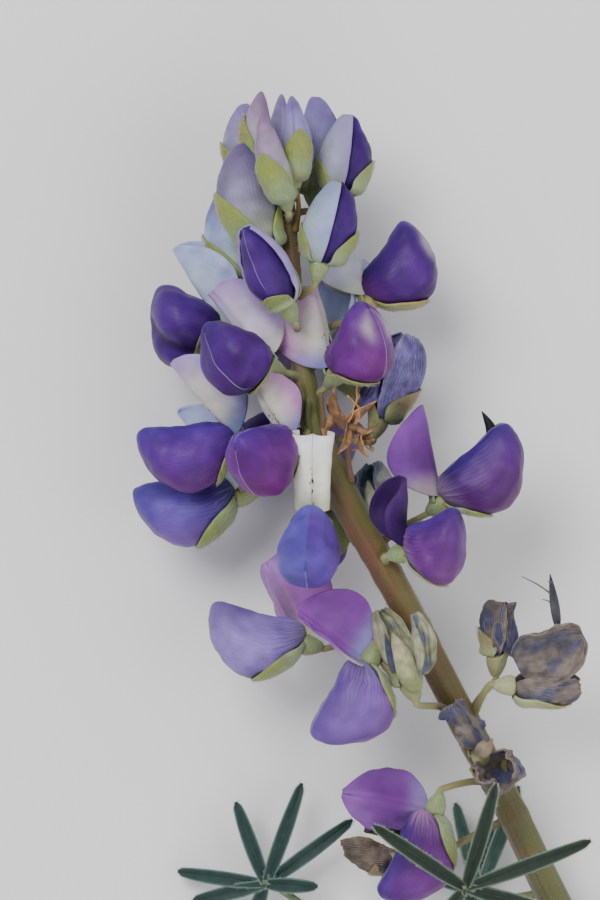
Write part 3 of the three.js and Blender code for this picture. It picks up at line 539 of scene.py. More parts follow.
def swell_of(row, u):
    """Outline of a bud or a young flower: some are plumper, with a blunter tip."""
    return half_wave(u, 0.85, 0.52) if "plump" in row else bud_swell(u)


def wing_swell(u):
    """Outline of a wing pair, from its claw to its round end."""
    return np.maximum(1 - np.abs(2 * np.clip(u, 0, 1) ** 1.12 - 1) ** 2.3, 0) ** 0.45


def wrap_of(row):
    """How far round from the keel each wing reaches: open flowers close, young and faded ones gape."""
    return math.radians(row.get("wrap", 80 if "crumple" in row else 156 if "ridge" in row else 180))


def boat(row, u, v, grow=0.0):
    """A wing pair: a drop-shaped section whose angle a goes with v from -wrap to wrap.

    Point = base + forward x + up rise + side out, rise going from low to high as 1 - cos a. On an
    open flower the upper margin runs nearly straight and curves up at its tip, the sections are
    pinched at the top, and a cleft may part the two wings along the keel."""
    sizes = bpy.context.scene.lupin_sizes
    length = axes_of(row)[3]
    wrap = wrap_of(row)
    full = "ridge" not in row and "crumple" not in row
    h, w = row.get("h", sizes.wing_height), row.get("w", sizes.wing_width)
    b = bud_swell(u) if "ridge" in row else wing_swell(u)
    a = v * wrap
    high = 0.4 * h * (b ** 0.3 if full else b)
    low = high - h * b - grow
    share = (1 - np.cos(a)) / (1 - math.cos(wrap))
    parted = row.get("cleft", 0) * np.exp(-(v / 0.07) ** 2) * smooth(0.05, 0.3, u) * b
    rise = low + (high - low) * share + parted + full * row.get("curve", 1.2) * smooth(0.5, 1, u)
    pinch = 1 + 0.16 * np.cos(a) if full else 1
    out = (0.5 * w * b * pinch + grow) * np.sin(a)
    return placed(row, CLAW + (length - CLAW) * u, rise, out)


def lift_of(row):
    """How far above the flower's axis its banner starts."""
    return 0.4 * row["h"] + 1.2 if "crumple" in row else 0.9


def flag(row, u, v, groove=0.3, roll_back=0.0):
    """A banner: a round sheet creased along its ridge by an arc, then straight, both halves folded
    back; a groove runs along the crease and the margins may roll further back."""
    sizes = bpy.context.scene.lupin_sizes
    forward, up, level, _ = axes_of(row, 0)
    base = row["base"] + forward * CLAW + up * lift_of(row)
    reach = row["apex"] - base
    length = np.linalg.norm(reach)
    ridge = reach / length
    twist = math.radians(row.get("twist", 0))
    back = turned(-unit(forward - ridge * (forward @ ridge)), ridge, twist)
    side = turned(unit(level - ridge * (level @ ridge)), ridge, twist)
    fold = math.radians(row.get("fold", 68))
    half = row.get("width", sizes.banner_width) / 2
    outline = half_wave(u, 0.8, row["point"]) if "point" in row else half_wave(u, 0.9, 0.46)
    s = np.abs(v) * half * outline
    if "scroll" in row:
        return scrolled(row, u, v, base + ridge * (length * u)[..., None], back, side)
    bend = sizes.ridge_radius * fold
    turn = np.minimum(s, bend) / sizes.ridge_radius
    past = np.maximum(s - bend, 0)
    out = sizes.ridge_radius * np.sin(turn) + past * math.cos(fold)
    away = sizes.ridge_radius * (1 - np.cos(turn)) + past * math.sin(fold)
    away = away + 0.1 * length * u * u + groove * np.exp(-(v / 0.07) ** 2) * smooth(0, 0.2, u)
    away = away + roll_back * (s / half) ** 3
    out = out - roll_back * 0.5 * (s / half) ** 4
    along = length * u
    return base + ridge * along[..., None] + back * away[..., None] + side * (np.sign(v) * out)[..., None]


def scrolled(row, u, v, line, back, side):
    """A banner whose halves roll back into two tubes: from the groove each half goes round a circle,
    out = r (1 - cos t), away = r (1 - sin t), t rising with v to SCROLL_TURN, r growing with u."""
    r = row["scroll"] * (0.76 + 0.24 * u ** 2)
    t = np.abs(v) ** 0.9 * math.radians(SCROLL_TURN)
    out = r * (1 - np.cos(t))
    away = r * (1 - np.sin(t)) - 0.4 * u * u
    return line + back * away[..., None] + side * (np.sign(v) * out)[..., None]


def cloak(row, u, v, grow=0.0):
    """A young banner: a cloak over the wings, its section an arc of CLOAK_WRAP each way."""
    length = axes_of(row)[3]
    wrap = math.radians(CLOAK_WRAP)
    b = bud_swell(u)
    a = v * wrap
    high = 0.42 * row["h"] * b + 1.1 + grow
    low = -0.1 * row["h"] * b
    rise = high - (high - low) * (1 - np.cos(a)) / (1 - math.cos(wrap))
    out = (0.5 * row["w"] * b + 0.8 + grow) * np.sin(a)
    return placed(row, CLAW + (length - CLAW) * u, rise, out)


def bud_skin(row, u, a, grow=0.0):
    """A closed bud: oval rings, deeper than wide, creased on the ridge side and bowed."""
    length = axes_of(row)[3]
    r = row["r"] * swell_of(row, u) + grow
    crease = 1 + 0.16 * np.maximum(np.cos(a), 0) ** 3
    bow = 0.09 * length * np.sin(math.pi * u)
    rise = 1.12 * r * crease * np.cos(a) - bow
    out = 0.9 * r * np.sin(a)
    return placed(row, length * u, rise, out)


def rachis_at(height):
    """Centre and radius of the rachis at heights up the spike, by straight interpolation."""
    rows = RACHIS[::-1]
    return np.stack([np.interp(height, rows[:, 1], rows[:, k]) for k in range(4)], -1)


# ---- Petals ---------------------------------------------------------------------------------------

RIM_SIDE = -1  # the half of a banner whose foot may be pale: -1 is its left, seen from behind
AGED = ("ageing", "veined", "lavender", "heather", "mauve")  # wings with wiry veins and wrinkles


def dense_ends(low, high, n):
    """n values from low to high, closer together at both ends."""
    return low + (high - low) * (1 - np.cos(np.linspace(0, math.pi, n))) / 2


def paint_wings(row, u, v, points):
    """Keel side to cheek to upper margin across, claw colour at the foot, a painted highlight near the tip,
    painted shade along a cleft and a painted highlight line along the upper margin.
    """
    brow, cheek, belly, claw = (ink(c) for c in WING_PAINT[row["wings"]])
    q = np.abs(v)
    colour = blend(blend(belly, cheek, smooth(0.1, 0.5, q)), brow, smooth(0.5, 1.0, q))
    if "halves" in row:
        left, right = (ink(c) for c in row["halves"])
        half = smooth(-0.12, 0.12, v)
        colour = colour * 0.35 + blend(left, right, half) * 0.65
    colour = blend(colour, brow, 0.45 * smooth(0.7, 1.0, u))
    colour = blend(colour, claw, 1 - smooth(0.0, 0.26, u))
    cloud = smooth(-0.7, 0.9, swirl(points, 9, 71))
    colour = colour * (0.82 + 0.36 * cloud)[..., None]
    # Painted highlight: a pale patch near the tip of the wings.
    patch = row.get("glow", 0) * np.exp(-((u - 0.92) / 0.07) ** 2 - ((q - 0.26) / 0.15) ** 2)
    colour = blend(colour, PAINTED_TIP_HIGHLIGHT, np.clip(patch, 0, 1) * 0.8)
    if "cleft" in row:
        # Painted shade: a dark line along the cleft where the two wings part.
        colour = blend(colour, CLEFT_SHADE, 0.8 * np.exp(-(v / 0.03) ** 2) * smooth(0.05, 0.3, u))
    # Painted highlight: a pale line along the upper margin of each wing.
    margin = 0.28 * smooth(0.97, 1.0, q) * smooth(0.1, 0.4, u) * ("halves" not in row)
    return blend(colour, PAINTED_HIGHLIGHT_LINE, margin)


def wing_patch(row, seed, density=1.0):
    """Both wings as one sheet, uneven by slow noise, ridged near the claw, with a seam underneath,
    and drawn together at the tip of an open flower."""
    sizes = bpy.context.scene.lupin_sizes
    rows, cols = int(WING_GRID[0] * density), int(WING_GRID[1] * density) * 2
    u, v = grid(dense_ends(0.012, 0.99995, rows), dense_ends(-1, 1, cols))
    points = boat(row, u, v)
    out = normals(points)
    facing = np.sign((out * (points - points.mean((0, 1)))).sum(-1).mean())
    fan = np.sin(np.abs(v) * 52 + 2 * u) * smooth(0.2, 0.4, np.abs(v)) * smooth(0.02, 0.1, u)
    aged = 1.8 if row["wings"] in AGED else 1.0
    ridges = fan * (1 - smooth(0.08, 0.3 + 0.06 * aged, u)) * aged
    uneven = 0.24 * swirl(points, 8, seed) * smooth(0, 0.3, u) * (1 - smooth(0.93, 1, u))
    lines = 0.012 * np.sin(np.abs(v) * 90 + 7 * swirl(points, 7, seed + 9)) * smooth(0.1, 0.3, u)
    seam = 0.1 * np.exp(-(v / 0.03) ** 2) * smooth(0.1, 0.4, u) * ("cleft" not in row)
    points = points + out * (uneven + 0.06 * ridges + aged * lines + facing * seam)[..., None]
    fading = 1 - smooth(0.1, 0.6, u)
    veins = 0.12 + 0.8 * fading ** 2 if row["wings"] in AGED else 0.08 + 0.4 * (1 - smooth(0.05, 0.3, u))
    # Painted highlight along the keel seam, drawn as a pale line by the petal material.
    keel_highlight = smooth(0.2, 0.45, u) * ("cleft" not in row)
    marks = marks_of(u, veins, seam=keel_highlight)
    uv = sheet_uv(u, v)
    thick = sizes.petal_thickness * (1 - 0.5 * smooth(0.93, 1, np.abs(v)))
    patch = sheet(points, uv, paint_wings(row, u, v, points), marks, thick)
    if "ridge" not in row:
        ring = patch.points.reshape(rows, 2 * cols, 3)[-1]
        outside = ring[:cols] if facing > 0 else ring[cols:]
        ring[:] = outside.mean(0) + 0.08 * (ring - ring.mean(0))
    return patch


def paint_banner(row, u, v):
    """Middle to margin across, crest colour towards the end, claw colour at the foot."""
    crest, margin, middle, claw = (ink(c) for c in BANNER_PAINT[row["banner"]])
    core = row.get("core", 0.25)
    colour = blend(middle, margin, smooth(core, 0.3 + 2.6 * core, np.abs(v)))
    colour = blend(colour, crest, smooth(0.5, 1.0, u + 0.15 * v))
    colour = blend(colour, claw, 1 - smooth(0.02, 0.34, u))
    if "rim" in row:
        pale = 0.8 * smooth(0.6, 0.95, RIM_SIDE * v) * (1 - smooth(0.3, 0.6, u))
        return blend(colour, ink(row["rim"]), pale)
    return blend(colour, margin * 0.8, 0.5 * smooth(0.93, 1, np.maximum(np.abs(v), u)))


def banner_patch(row, seed, density=1.0):
    """The folded-back banner, with waves that grow towards its margin and specks by its claw."""
    sizes = bpy.context.scene.lupin_sizes
    rows, cols = int(BANNER_GRID[0] * density), int(BANNER_GRID[1] * density) * 2
    u, v = grid(dense_ends(0.012, 0.985, rows), dense_ends(-1, 1, cols))
    points = flag(row, u, v, roll_back=1.0)
    calm = 0.35 if "scroll" in row else 1.0
    waves = calm * swirl(points, 9, seed) * (0.12 + 0.4 * np.abs(v) ** 2) * smooth(0, 0.3, u)
    points = points + normals(points) * waves[..., None]
    specked = row["banner"] in ("rose", "cream", "ivory", "frost", "pearl", "snow")
    wide, far = (0.2, 0.66) if "scroll" in row else (0.2, 0.5)
    specks = specked * np.exp(-(v / wide) ** 2) * smooth(0.06, 0.12, u) * (1 - smooth(far - 0.2, far, u))
    marks = marks_of(u, 0.08 + 0.5 * (1 - smooth(0.05, 0.35, u)), specks)
    uv = sheet_uv(u, v)
    thick = sizes.petal_thickness * (1 - 0.5 * smooth(0.9, 1, np.abs(v)))
    return sheet(points, uv, paint_banner(row, u, v), marks, thick)


def cloak_patch(row, seed):
    """A young banner round the wings, its margins thin and slightly wavy."""
    sizes = bpy.context.scene.lupin_sizes
    u, v = grid(dense_ends(0.012, 0.985, CLOAK_GRID[0]), dense_ends(-1, 1, CLOAK_GRID[1]))
    points = cloak(row, u, v)
    waves = swirl(points, 8, seed) * (0.06 + 0.16 * np.abs(v) ** 3)
    points = points + normals(points) * waves[..., None]
    marks = marks_of(u, 0.08 + 0.3 * (1 - smooth(0.05, 0.35, u)))
    thick = np.full(u.shape, sizes.petal_thickness)
    return sheet(points, sheet_uv(u, v), paint_banner(row, u, v), marks, thick)


def keel_patch(row):
    """A keel: a flattened beak bent up to the banner, dark at its tip."""
    forward, up, _, length = axes_of(row)
    h = row.get("h", bpy.context.scene.lupin_sizes.wing_height)
    plan = np.array([[0.1, -0.19], [0.35, -0.26], [0.62, -0.16], [0.84, 0.16], [0.86, 0.34]])
    path = catmull(plan, np.linspace(0, 1, 30))
    path = row["base"] + forward * (path[:, :1] * length) + up * (path[:, 1:] * h)
    t = np.linspace(0, 1, 30)
    radius = 0.95 * (0.25 + 0.75 * np.sin(math.pi * np.clip(t * 1.02, 0, 1) ** 0.8)) * (1 - 0.6 * t)
    paint = blend(KEEL_FOOT, KEEL_TIP, smooth(0.5, 0.95, t))
    flat = lambda _, a: 1 - 0.45 * np.abs(np.sin(a))
    return tube(path, np.maximum(radius, 0.08), 12, paint, first=up, profile=flat)


def beak_patch(row):
    """The dark tip of a keel that sticks out between the upper margins of its wings."""
    forward, up, _, length = axes_of(row)
    h = row.get("h", bpy.context.scene.lupin_sizes.wing_height)
    plan = [(0.68, 0.1), (0.78, 0.3), (0.84, 0.52), (0.86, 0.8)]
    path = catmull([row["base"] + forward * x * length + up * y * h for x, y in plan], np.linspace(0, 1, 18))
    t = np.linspace(0, 1, 18)
    paint = blend(BEAK_FOOT, BEAK_TIP, smooth(0.2, 0.7, t))
    return tube(path, 1.15 * (1 - 0.95 * t ** 2.4), 12, paint, first=up)


def hair_line(points, radius, paint):
    """A style or filament: a thin tube on a smooth path that narrows to its end."""
    t = np.linspace(0, 1, 16)
    return tube(catmull(points, t), radius * (1 - 0.6 * t), 6, paint)


def bud_patch(row, seed):
    """A closed bud: its oval skin with the overlap of the folded banner as a shallow step."""
    rows, cols = BUD_GRID
    u, a = grid(dense_ends(0.01, 0.99, rows), np.arange(cols) * 2 * math.pi / cols)
    points = bud_skin(row, u, a)
    centre = points.mean(1, keepdims=True)
    out = unit(points - centre)
    seam = -0.22 * np.exp(-((a - math.pi * 0.82) / 0.12) ** 2) * half_wave(u, 0.8, 0.6)
    step = 0.16 * smooth(math.pi * 0.82, math.pi * 0.9, a) * (1 - smooth(math.pi * 1.5, math.pi * 1.9, a))
    points = points + out * (seam + step * half_wave(u, 0.8, 0.5) + 0.09 * swirl(points, 5, seed))[..., None]
    tip, body, foot = (ink(c) for c in BUD_PAINT[row["skin"]])
    paint = blend(blend(foot, body, smooth(0.15, 0.5, u)), tip, smooth(0.45, 0.95, u))
    line = np.exp(-((a - math.pi * 0.87) / 0.09) ** 2) + 0.6 * np.exp(-((a - math.pi * 1.9) / 0.12) ** 2)
    paint = blend(paint, BUD_FOLD, 0.65 * np.clip(line, 0, 1) * smooth(0.2, 0.5, u))
    cloud = smooth(-0.7, 0.9, swirl(points, 6, seed + 3))
    paint = paint * (0.85 + 0.3 * cloud)[..., None]
    uu, vv = grid(np.linspace(0, 1, rows), np.linspace(0, 1, cols + 1))
    return Patch(points, np.stack([uu, vv], -1), paint, (0.2, 0, 0), "fan")


# ---- Calyces and stalks ---------------------------------------------------------------------------

def size_of(row):
    """Size of a calyx against that of an open flower."""
    return min(row["r"] / 2.9, 1) if "r" in row else 0.95


def lip_of(row):
    """Reach of the lower calyx lip as a share of the flower, and its half angle at the cup."""
    closed = "r" in row
    return row.get("lip", 0.62 if closed else 0.5), math.radians(row.get("spread", 84 if closed else 72))


def lip_points(row, u, q, reach, spread, start):
    """A calyx lip that hugs the keel side of the petals: at share u of its reach its half angle falls
    from spread to a point, and its distance from them from the cup's radius to almost nothing."""
    t = smooth(0, 0.4, u)
    beta = spread * (1 - np.clip(u, 0, 1) ** 2.2) ** 0.75
    length = np.linalg.norm(row["tip"] - row["base"])
    along = start / length + u * (reach - start / length)
    if "r" in row:
        grow = (1.25 * size_of(row)) * (1 - t) + 0.3 * t
        return bud_skin(row, along, math.pi + q * beta, grow)
    grow = (1.45 * size_of(row)) * (1 - t) + 0.46 * t
    return boat(row, along, q * beta / wrap_of(row), grow)


def upper_lip_points(row, u, q, spread):
    """The calyx lip behind the banner: round a bud or a young flower it hugs, else it is a tongue."""
    t = smooth(0, 0.4, u)
    beta = spread * (1 - np.clip(u, 0, 1) ** 2.2) ** 0.75
    length = np.linalg.norm(row["tip"] - row["base"])
    if "r" in row:
        return bud_skin(row, u * 0.42, q * beta, 1.25 * size_of(row) * (1 - t) + 0.3 * t)
    if "ridge" in row:
        return cloak(row, u * 0.42, q * beta / math.radians(CLOAK_WRAP), 0.6 * (1 - t) + 0.3 * t)
    forward, _, side, _ = axes_of(row, 0)
    ridge = unit(row["apex"] - row["base"])
    back = -unit(forward - ridge * (forward @ ridge))
    width = 1.5 * size_of(row) * (1 - np.clip(u, 0, 1) ** 2)
    rise = 0.5 + u * 0.3 * length
    away = 1.1 * size_of(row) + 0.5 * u - 0.45 * q ** 2 * width
    centre = row["base"] + ridge * rise[..., None] + back * away[..., None]
    return centre + side * (q * width)[..., None]


def calyx_patches(row, seed, old=False):
    """A calyx: its bell, a long lower lip and a shorter upper one, gone where the banner is twisted."""
    forward, up, _, _ = axes_of(row, 0)
    size = size_of(row)
    t = np.linspace(0, 1, 16)
    path = row["base"] + forward * ((-2.0 + 3.2 * t) * size)[:, None]
    radius = size * np.interp(t, [0, 0.1, 0.3, 0.55, 0.8, 0.93, 1], [0.55, 0.78, 1.12, 1.42, 1.58, 1.5, 1.2])
    foot, tip = (OLD_CALYX_FOOT, OLD_CALYX_TIP) if old else (CALYX_FOOT, CALYX_TIP)
    if "sepal" in row:
        foot, tip = (ink(c) for c in row["sepal"])
    ribs = lambda s, a: 1 + 0.05 * np.cos(5 * a) + 0.02 * np.cos(13 * a + 2 * s)
    cup = tube(path, radius, 20, blend(foot, tip, 0.3 * t), first=up, profile=ribs)
    u, q = grid(np.linspace(0, 0.985, LIP_GRID[0]), np.linspace(-1, 1, LIP_GRID[1]))
    uv = sheet_uv(u, q)
    lower = lip_points(row, u, q, *lip_of(row), 0.1)
    lower = lower + normals(lower) * (0.05 * swirl(lower, 3, seed))[..., None]
    shade = blend(foot, tip, smooth(0.1, 0.75, u))
    thick = LIP_THICKNESS * (1 - 0.55 * u)
    patches = [cup, sheet(lower, uv, shade, (0.3, 0, 0), thick)]
    if abs(row.get("twist", 0)) > 30:
        return patches
    upper = upper_lip_points(row, u, q, math.radians(66))
    patches.append(sheet(upper, uv, shade, (0.3, 0, 0), thick))
    return patches


def stalk_path(row):
    """Centre line of a flower stalk, from inside the rachis to the back of the calyx."""
    forward = axes_of(row, 0)[0]
    size = size_of(row)
    root = rachis_at(row["foot"])[:3]
    behind = row["base"] - forward * (2.6 * size)
    neck = row["base"] - forward * (1.5 * size)
    middle = (root + behind) / 2 + np.array([0, 0.5, 0])
    return catmull([root, middle, behind, neck], np.linspace(0, 1, 24))


def stalk_patch(row):
    """A flower stalk: a slightly tapered tube, wider where it leaves the rachis."""
    path = stalk_path(row)
    t = np.linspace(0, 1, len(path))
    radius = 0.5 + 0.35 * np.exp(-t / 0.12) - 0.04 * t
    shade = blend(stem_colour(path[:, 1]), STALK_END, smooth(0.1, 0.6, t))
    return tube(path, radius, 10, shade)


def stem_colour(height):
    """Colour up the stem, between the named stops."""
    return np.stack([np.interp(height, STEM_STOPS, STEM_PAINT[:, k]) for k in range(3)], -1)


def stub_patches():
    """Old stalks and flower scars that stand beside the rachis: short tapered tubes."""
    patches = []
    for k, (start, end, radius, colour) in enumerate(STUBS):
        t = np.linspace(0, 1, 14)
        middle = (np.array(start) + np.array(end)) / 2 + np.array([0.3, 0, 0.2]) * (-1) ** k
        path = catmull([start, middle, end], t)
        patches.append(tube(path, radius * (1 - 0.35 * t), 10, ink(colour)))
    return patches


def rachis_patch():
    """The stem: a ribbed tube, swollen at the whorl and at the foot of each stalk, greener on its right."""
    t = np.linspace(0, 1, 420)
    line = catmull(RACHIS, t)
    swell = sum(np.exp(-((line[:, 1] - row["foot"]) / 0.9) ** 2) for row in FLOWERS)
    whorl = smooth(WHORL_FOOT - 1, WHORL_FOOT + 1, line[:, 1])
    whorl = whorl * (1 - smooth(WHORL_TOP - 1, WHORL_TOP + 1, line[:, 1]))
    radius = line[:, 3] + 0.25 * whorl + 0.12 * np.minimum(swell, 1.5)
    twist = 9 * t[:, None]
    ribs = lambda s, a: 1 + 0.035 * np.cos(6 * a + twist) + 0.012 * np.cos(17 * a - 2 * twist)
    turn = np.arange(40) * 2 * math.pi / 40
    cloud = swirl(line[:, None, :3] + 3 * np.stack([np.cos(turn), np.sin(turn), 0 * turn], -1), 14, 5)
    green = smooth(-0.7, 0.9, -np.sin(turn) + 0.8 * cloud)
    paint = blend(stem_colour(line[:, 1])[:, None], STEM_GREEN, 0.75 * green)
    return tube(line[:, :3], radius, 40, paint, marks=(1, 0, 0), profile=ribs)


# ---- Faded flowers --------------------------------------------------------------------------------

def paint_faded(row, points, u, v, seed):
    """Two colours in ragged patches that run lengthwise, and a dry rim."""
    one, two, rim = (ink(c) for c in FADED_PAINT[row["skin"]])
    streaks = 2.4 * np.abs(v) - 0.9 if row["skin"] == "sheath" else 0.5 * np.sin(9 * v + 2 * u)
    patch = smooth(-0.7, 0.8, swirl(points, 6, seed) + streaks)
    return blend(blend(one, two, patch), rim, smooth(0.9, 1, np.maximum(np.abs(v), u)))


def pod_patch(start, end, radius, foot, tip):
    """A pod or a keel: a spindle that starts blunt and is drawn out to a point."""
    t = np.linspace(0, 1, 24)
    path = np.array(start) + (np.array(end) - np.array(start)) * t[:, None]
    path[:, 2] += 0.12 * radius * np.sin(math.pi * t)
    swell = np.sin(math.pi * np.clip(0.08 + 0.91 * t, 0, 1) ** 0.7) ** 0.8
    return tube(path, np.maximum(radius * swell, 0.05), 16, blend(ink(foot), ink(tip), smooth(0, 0.8, t)))


def faded_patches(row, seed):
    """A faded flower: narrow wings and banner, crumpled by noise that grows towards their margins."""
    u, v = grid(dense_ends(0.02, 0.98, FADED_GRID[0]), dense_ends(-1, 1, FADED_GRID[1]))
    patches = []
    crumple = row["crumple"]
    for k, make in enumerate((boat, lambda r, s, q: flag(r, s, q, groove=0.1, roll_back=0.8))):
        points = make(row, u, v)
        deep = 0.1 + 3 * crumple
        waves = swirl(points, 5.5, seed + k, 4) * (0.3 + 0.7 * np.abs(v)) * smooth(0, 0.25, u) * deep
        pleats = 0.12 * np.sin(26 * v + 3 * swirl(points, 8, seed + 7)) * smooth(0.05, 0.3, u)
        points = points + normals(points) * (waves + pleats)[..., None]
        paint = paint_faded(row, points, u, v, seed + k)
        patches.append(sheet(points, sheet_uv(u, v), paint, (0.9, 0, 0), np.full(u.shape, FADED_THICKNESS)))
    patches += [pod_patch(*pod) for pod in row.get("pods", ())]
    for start, end, radius in row.get("stamens", ()):
        middle = (np.array(start) + np.array(end)) / 2 + np.array([0.15, 0.1, 0.15])
        patches.append(hair_line([start, middle, end], radius, STAMEN))
    return patches


# ---- Leaves and bracts ----------------------------------------------------------------------------

def leaflet_grid(hub, tip):
    """A leaflet: a lance-shaped sheet channelled along its midrib, bowed up and drooping at its tip."""
    sizes = bpy.context.scene.lupin_sizes
    u, v = grid(dense_ends(0.0, 0.99, LEAFLET_GRID[0]), np.linspace(-1, 1, LEAFLET_GRID[1]))
    run = tip - hub
    length = np.linalg.norm(run)
    side = unit(np.cross(run, [0, 0, 1.0]))
    rise = unit(np.cross(side, run))
    half = 0.3 + (sizes.leaflet_half_width - 0.3) * half_wave(u, 0.9, 0.5)
    half = half * (1 - smooth(0.93, 1.0, u) * 0.6)
    bow = 0.3 * length * u * (1 - u) ** 0.8
    across = v * half
    channel = 0.55 * np.abs(across) - 0.12 * np.exp(-(v / 0.16) ** 2)
    points = hub + run * u[..., None] + side * across[..., None] + rise * (bow + channel)[..., None]
    return points, u, v


def leaf_patches(plan):
    """A palmate leaf: its stalk and its leaflets, dark in the middle with a pale hairy margin."""
    foot, bend, hub, tips, skin = plan
    foot, bend, hub = (np.array(p, float) for p in (foot, bend, hub))
    dark, pale = (ink(c) for c in LEAF_PAINT[skin])
    t = np.linspace(0, 1, 60)
    collar = hub * 0.97 + foot * 0.03
    path = catmull([foot, bend, collar, hub], t)
    radius = np.interp(t, [0, 0.1, 0.9, 1], [0.75, 0.6, 0.5, 0.62])
    patches = [tube(path, radius, 12, blend(LEAF_STALK, pale, 0.5 * t))]
    for tip in tips:
        points, u, v = leaflet_grid(hub, np.array(tip, float))
        q = np.abs(v)
        paint = blend(blend(dark, pale * 1.15, smooth(0.8, 1, q)), pale, 0.45 * np.exp(-(v / 0.1) ** 2))
        patches.append(sheet(points, sheet_uv(u, v), paint, (0.5, 0, 0), LEAF_THICKNESS * (1 - 0.4 * q)))
    return patches


def bract_patches(seed=3):
    """Dry bracts and a spent anther cluster: curling strips, and filaments that end in beads."""
    rng = np.random.default_rng(seed)
    u, v = grid(np.linspace(0, 1, BRACT_GRID[0]), np.linspace(-1, 1, BRACT_GRID[1]))
    uv = sheet_uv(u, v)
    patches = []
    for root, tip in BRACTS:
        root, tip = np.array(root, float), np.array(tip, float)
        axis = tip - root
        side = unit(np.cross(axis, unit(rng.normal(size=3))))
        out = unit(np.cross(axis, side))
        curl = rng.uniform(0.4, 1.1)
        turn = rng.uniform(-1.2, 1.2) * u
        half = 0.75 * half_wave(0.12 + 0.86 * u, 0.7, 0.8)
        across = (side * np.cos(turn)[..., None] + out * np.sin(turn)[..., None]) * (v * half)[..., None]
        bow = out * (curl * np.sin(3.2 * u) + 0.35 * v ** 2 * (1 - u))[..., None]
        points = root + axis * u[..., None] + across + bow
        points = points + 0.12 * swirl(points, 2.2, int(rng.integers(99)))[..., None] * out
        paint = blend(BRACT_DARK, BRACT_PALE, smooth(-0.5, 0.6, swirl(points, 3, 5) + v))
        patches.append(sheet(points, uv, paint, (0.9, 0, 0), np.full(u.shape, BRACT_THICKNESS)))
    for _ in range(16):
        way = unit(rng.normal(size=3) + np.array([0.5, -0.2, 0.9]))
        end = ANTHER_HUB + way * rng.uniform(1.0, 2.1)
        middle = (ANTHER_HUB + end) / 2 + rng.normal(size=3) * 0.25
        patches.append(hair_line([ANTHER_HUB, middle, end], 0.11, FILAMENT))
        bead = np.linspace(-1, 1, 7)
        line = end + way * (bead * 0.42)[:, None]
        patches.append(tube(line, 0.24 * np.sqrt(1.08 - bead ** 2), 8, BEAD))
    core = catmull(ANTHER_LINE, np.linspace(0, 1, 20))
    knobs = lambda s, a: 1 + 0.2 * np.sin(3 * a + 14 * s)
    patches.append(tube(core, np.interp(np.linspace(0, 1, 20), [0, 0.4, 1], [0.8, 0.9, 0.4]), 14,
                        ANTHER_CORE, profile=knobs))
    return patches


# ---- Hairs ----------------------------------------------------------------------------------------

HAIR_RADIUS, STEM_HAIR_RADIUS = 0.02, 0.014
HAIRS_ON_STEM, HAIRS_ON_EDGE = 9000, 150


def hairs(roots, ways, lengths, radius, seed):
    """Short hairs: three-sided spines in two spans, bent sideways, their points and faces as arrays."""
    rng = np.random.default_rng(seed)
    n = len(roots)
    ways = unit(ways)
    one = unit(np.cross(ways, unit(rng.normal(size=(n, 3)))))
    two = np.cross(ways, one)
    bend = one * (lengths * rng.uniform(-0.35, 0.35, n))[:, None]
    a = np.array([0, 2, 4]) * math.pi / 3
    ring = one[:, None] * np.cos(a)[None, :, None] + two[:, None] * np.sin(a)[None, :, None]
    low = roots[:, None] + ring * radius
    mid = (roots + ways * (0.55 * lengths)[:, None] + bend * 0.4)[:, None] + ring * radius * 0.7
    top = roots + ways * lengths[:, None] + bend
    points = np.concatenate([low, mid, top[:, None]], 1)
    start = (np.arange(n) * 7)[:, None, None]
    sides = np.array([[0, 1, 4], [0, 4, 3], [1, 2, 5], [1, 5, 4], [2, 0, 3], [2, 3, 5],
                      [3, 4, 6], [4, 5, 6], [5, 3, 6], [0, 2, 1]])
    return points.reshape(-1, 3), (sides[None] + start).reshape(-1, 3)


def on_grid(points, n, seed):
    """n random places on a grid of points, with its normals and its direction of travel there."""
    rng = np.random.default_rng(seed)
    i, j = rng.uniform(0, points.shape[0] - 1.001, n), rng.uniform(0, points.shape[1] - 1.001, n)
    low_i, low_j = i.astype(int), j.astype(int)
    fi, fj = (i - low_i)[:, None], (j - low_j)[:, None]
    mix = lambda a: (a[low_i, low_j] * (1 - fi) * (1 - fj) + a[low_i + 1, low_j] * fi * (1 - fj)
                     + a[low_i, low_j + 1] * (1 - fi) * fj + a[low_i + 1, low_j + 1] * fi * fj)
    return mix(points), unit(mix(normals(points))), unit(mix(np.gradient(points, axis=0)))


def hair_piece(name, sets, finish, radius):
    """One mesh of hairs from sets of roots, directions and lengths."""
    points, tris, start = [], [], 0
    for k, (roots, ways, lengths) in enumerate(sets):
        p, t = hairs(roots, ways, lengths, radius, 100 + k)
        points.append(p)
        tris.append(t + start)
        start += len(p)
    add_piece(name, new_mesh(name, np.vstack(points), (np.vstack(tris),), finish))


def trial(count):
    """A number of hairs, as it is given."""
    return count // 1


def square_to(way, axis):
    """Unit vectors: way with what goes along the unit axis taken off."""
    return unit(way - axis * (way * axis).sum(-1, keepdims=True))


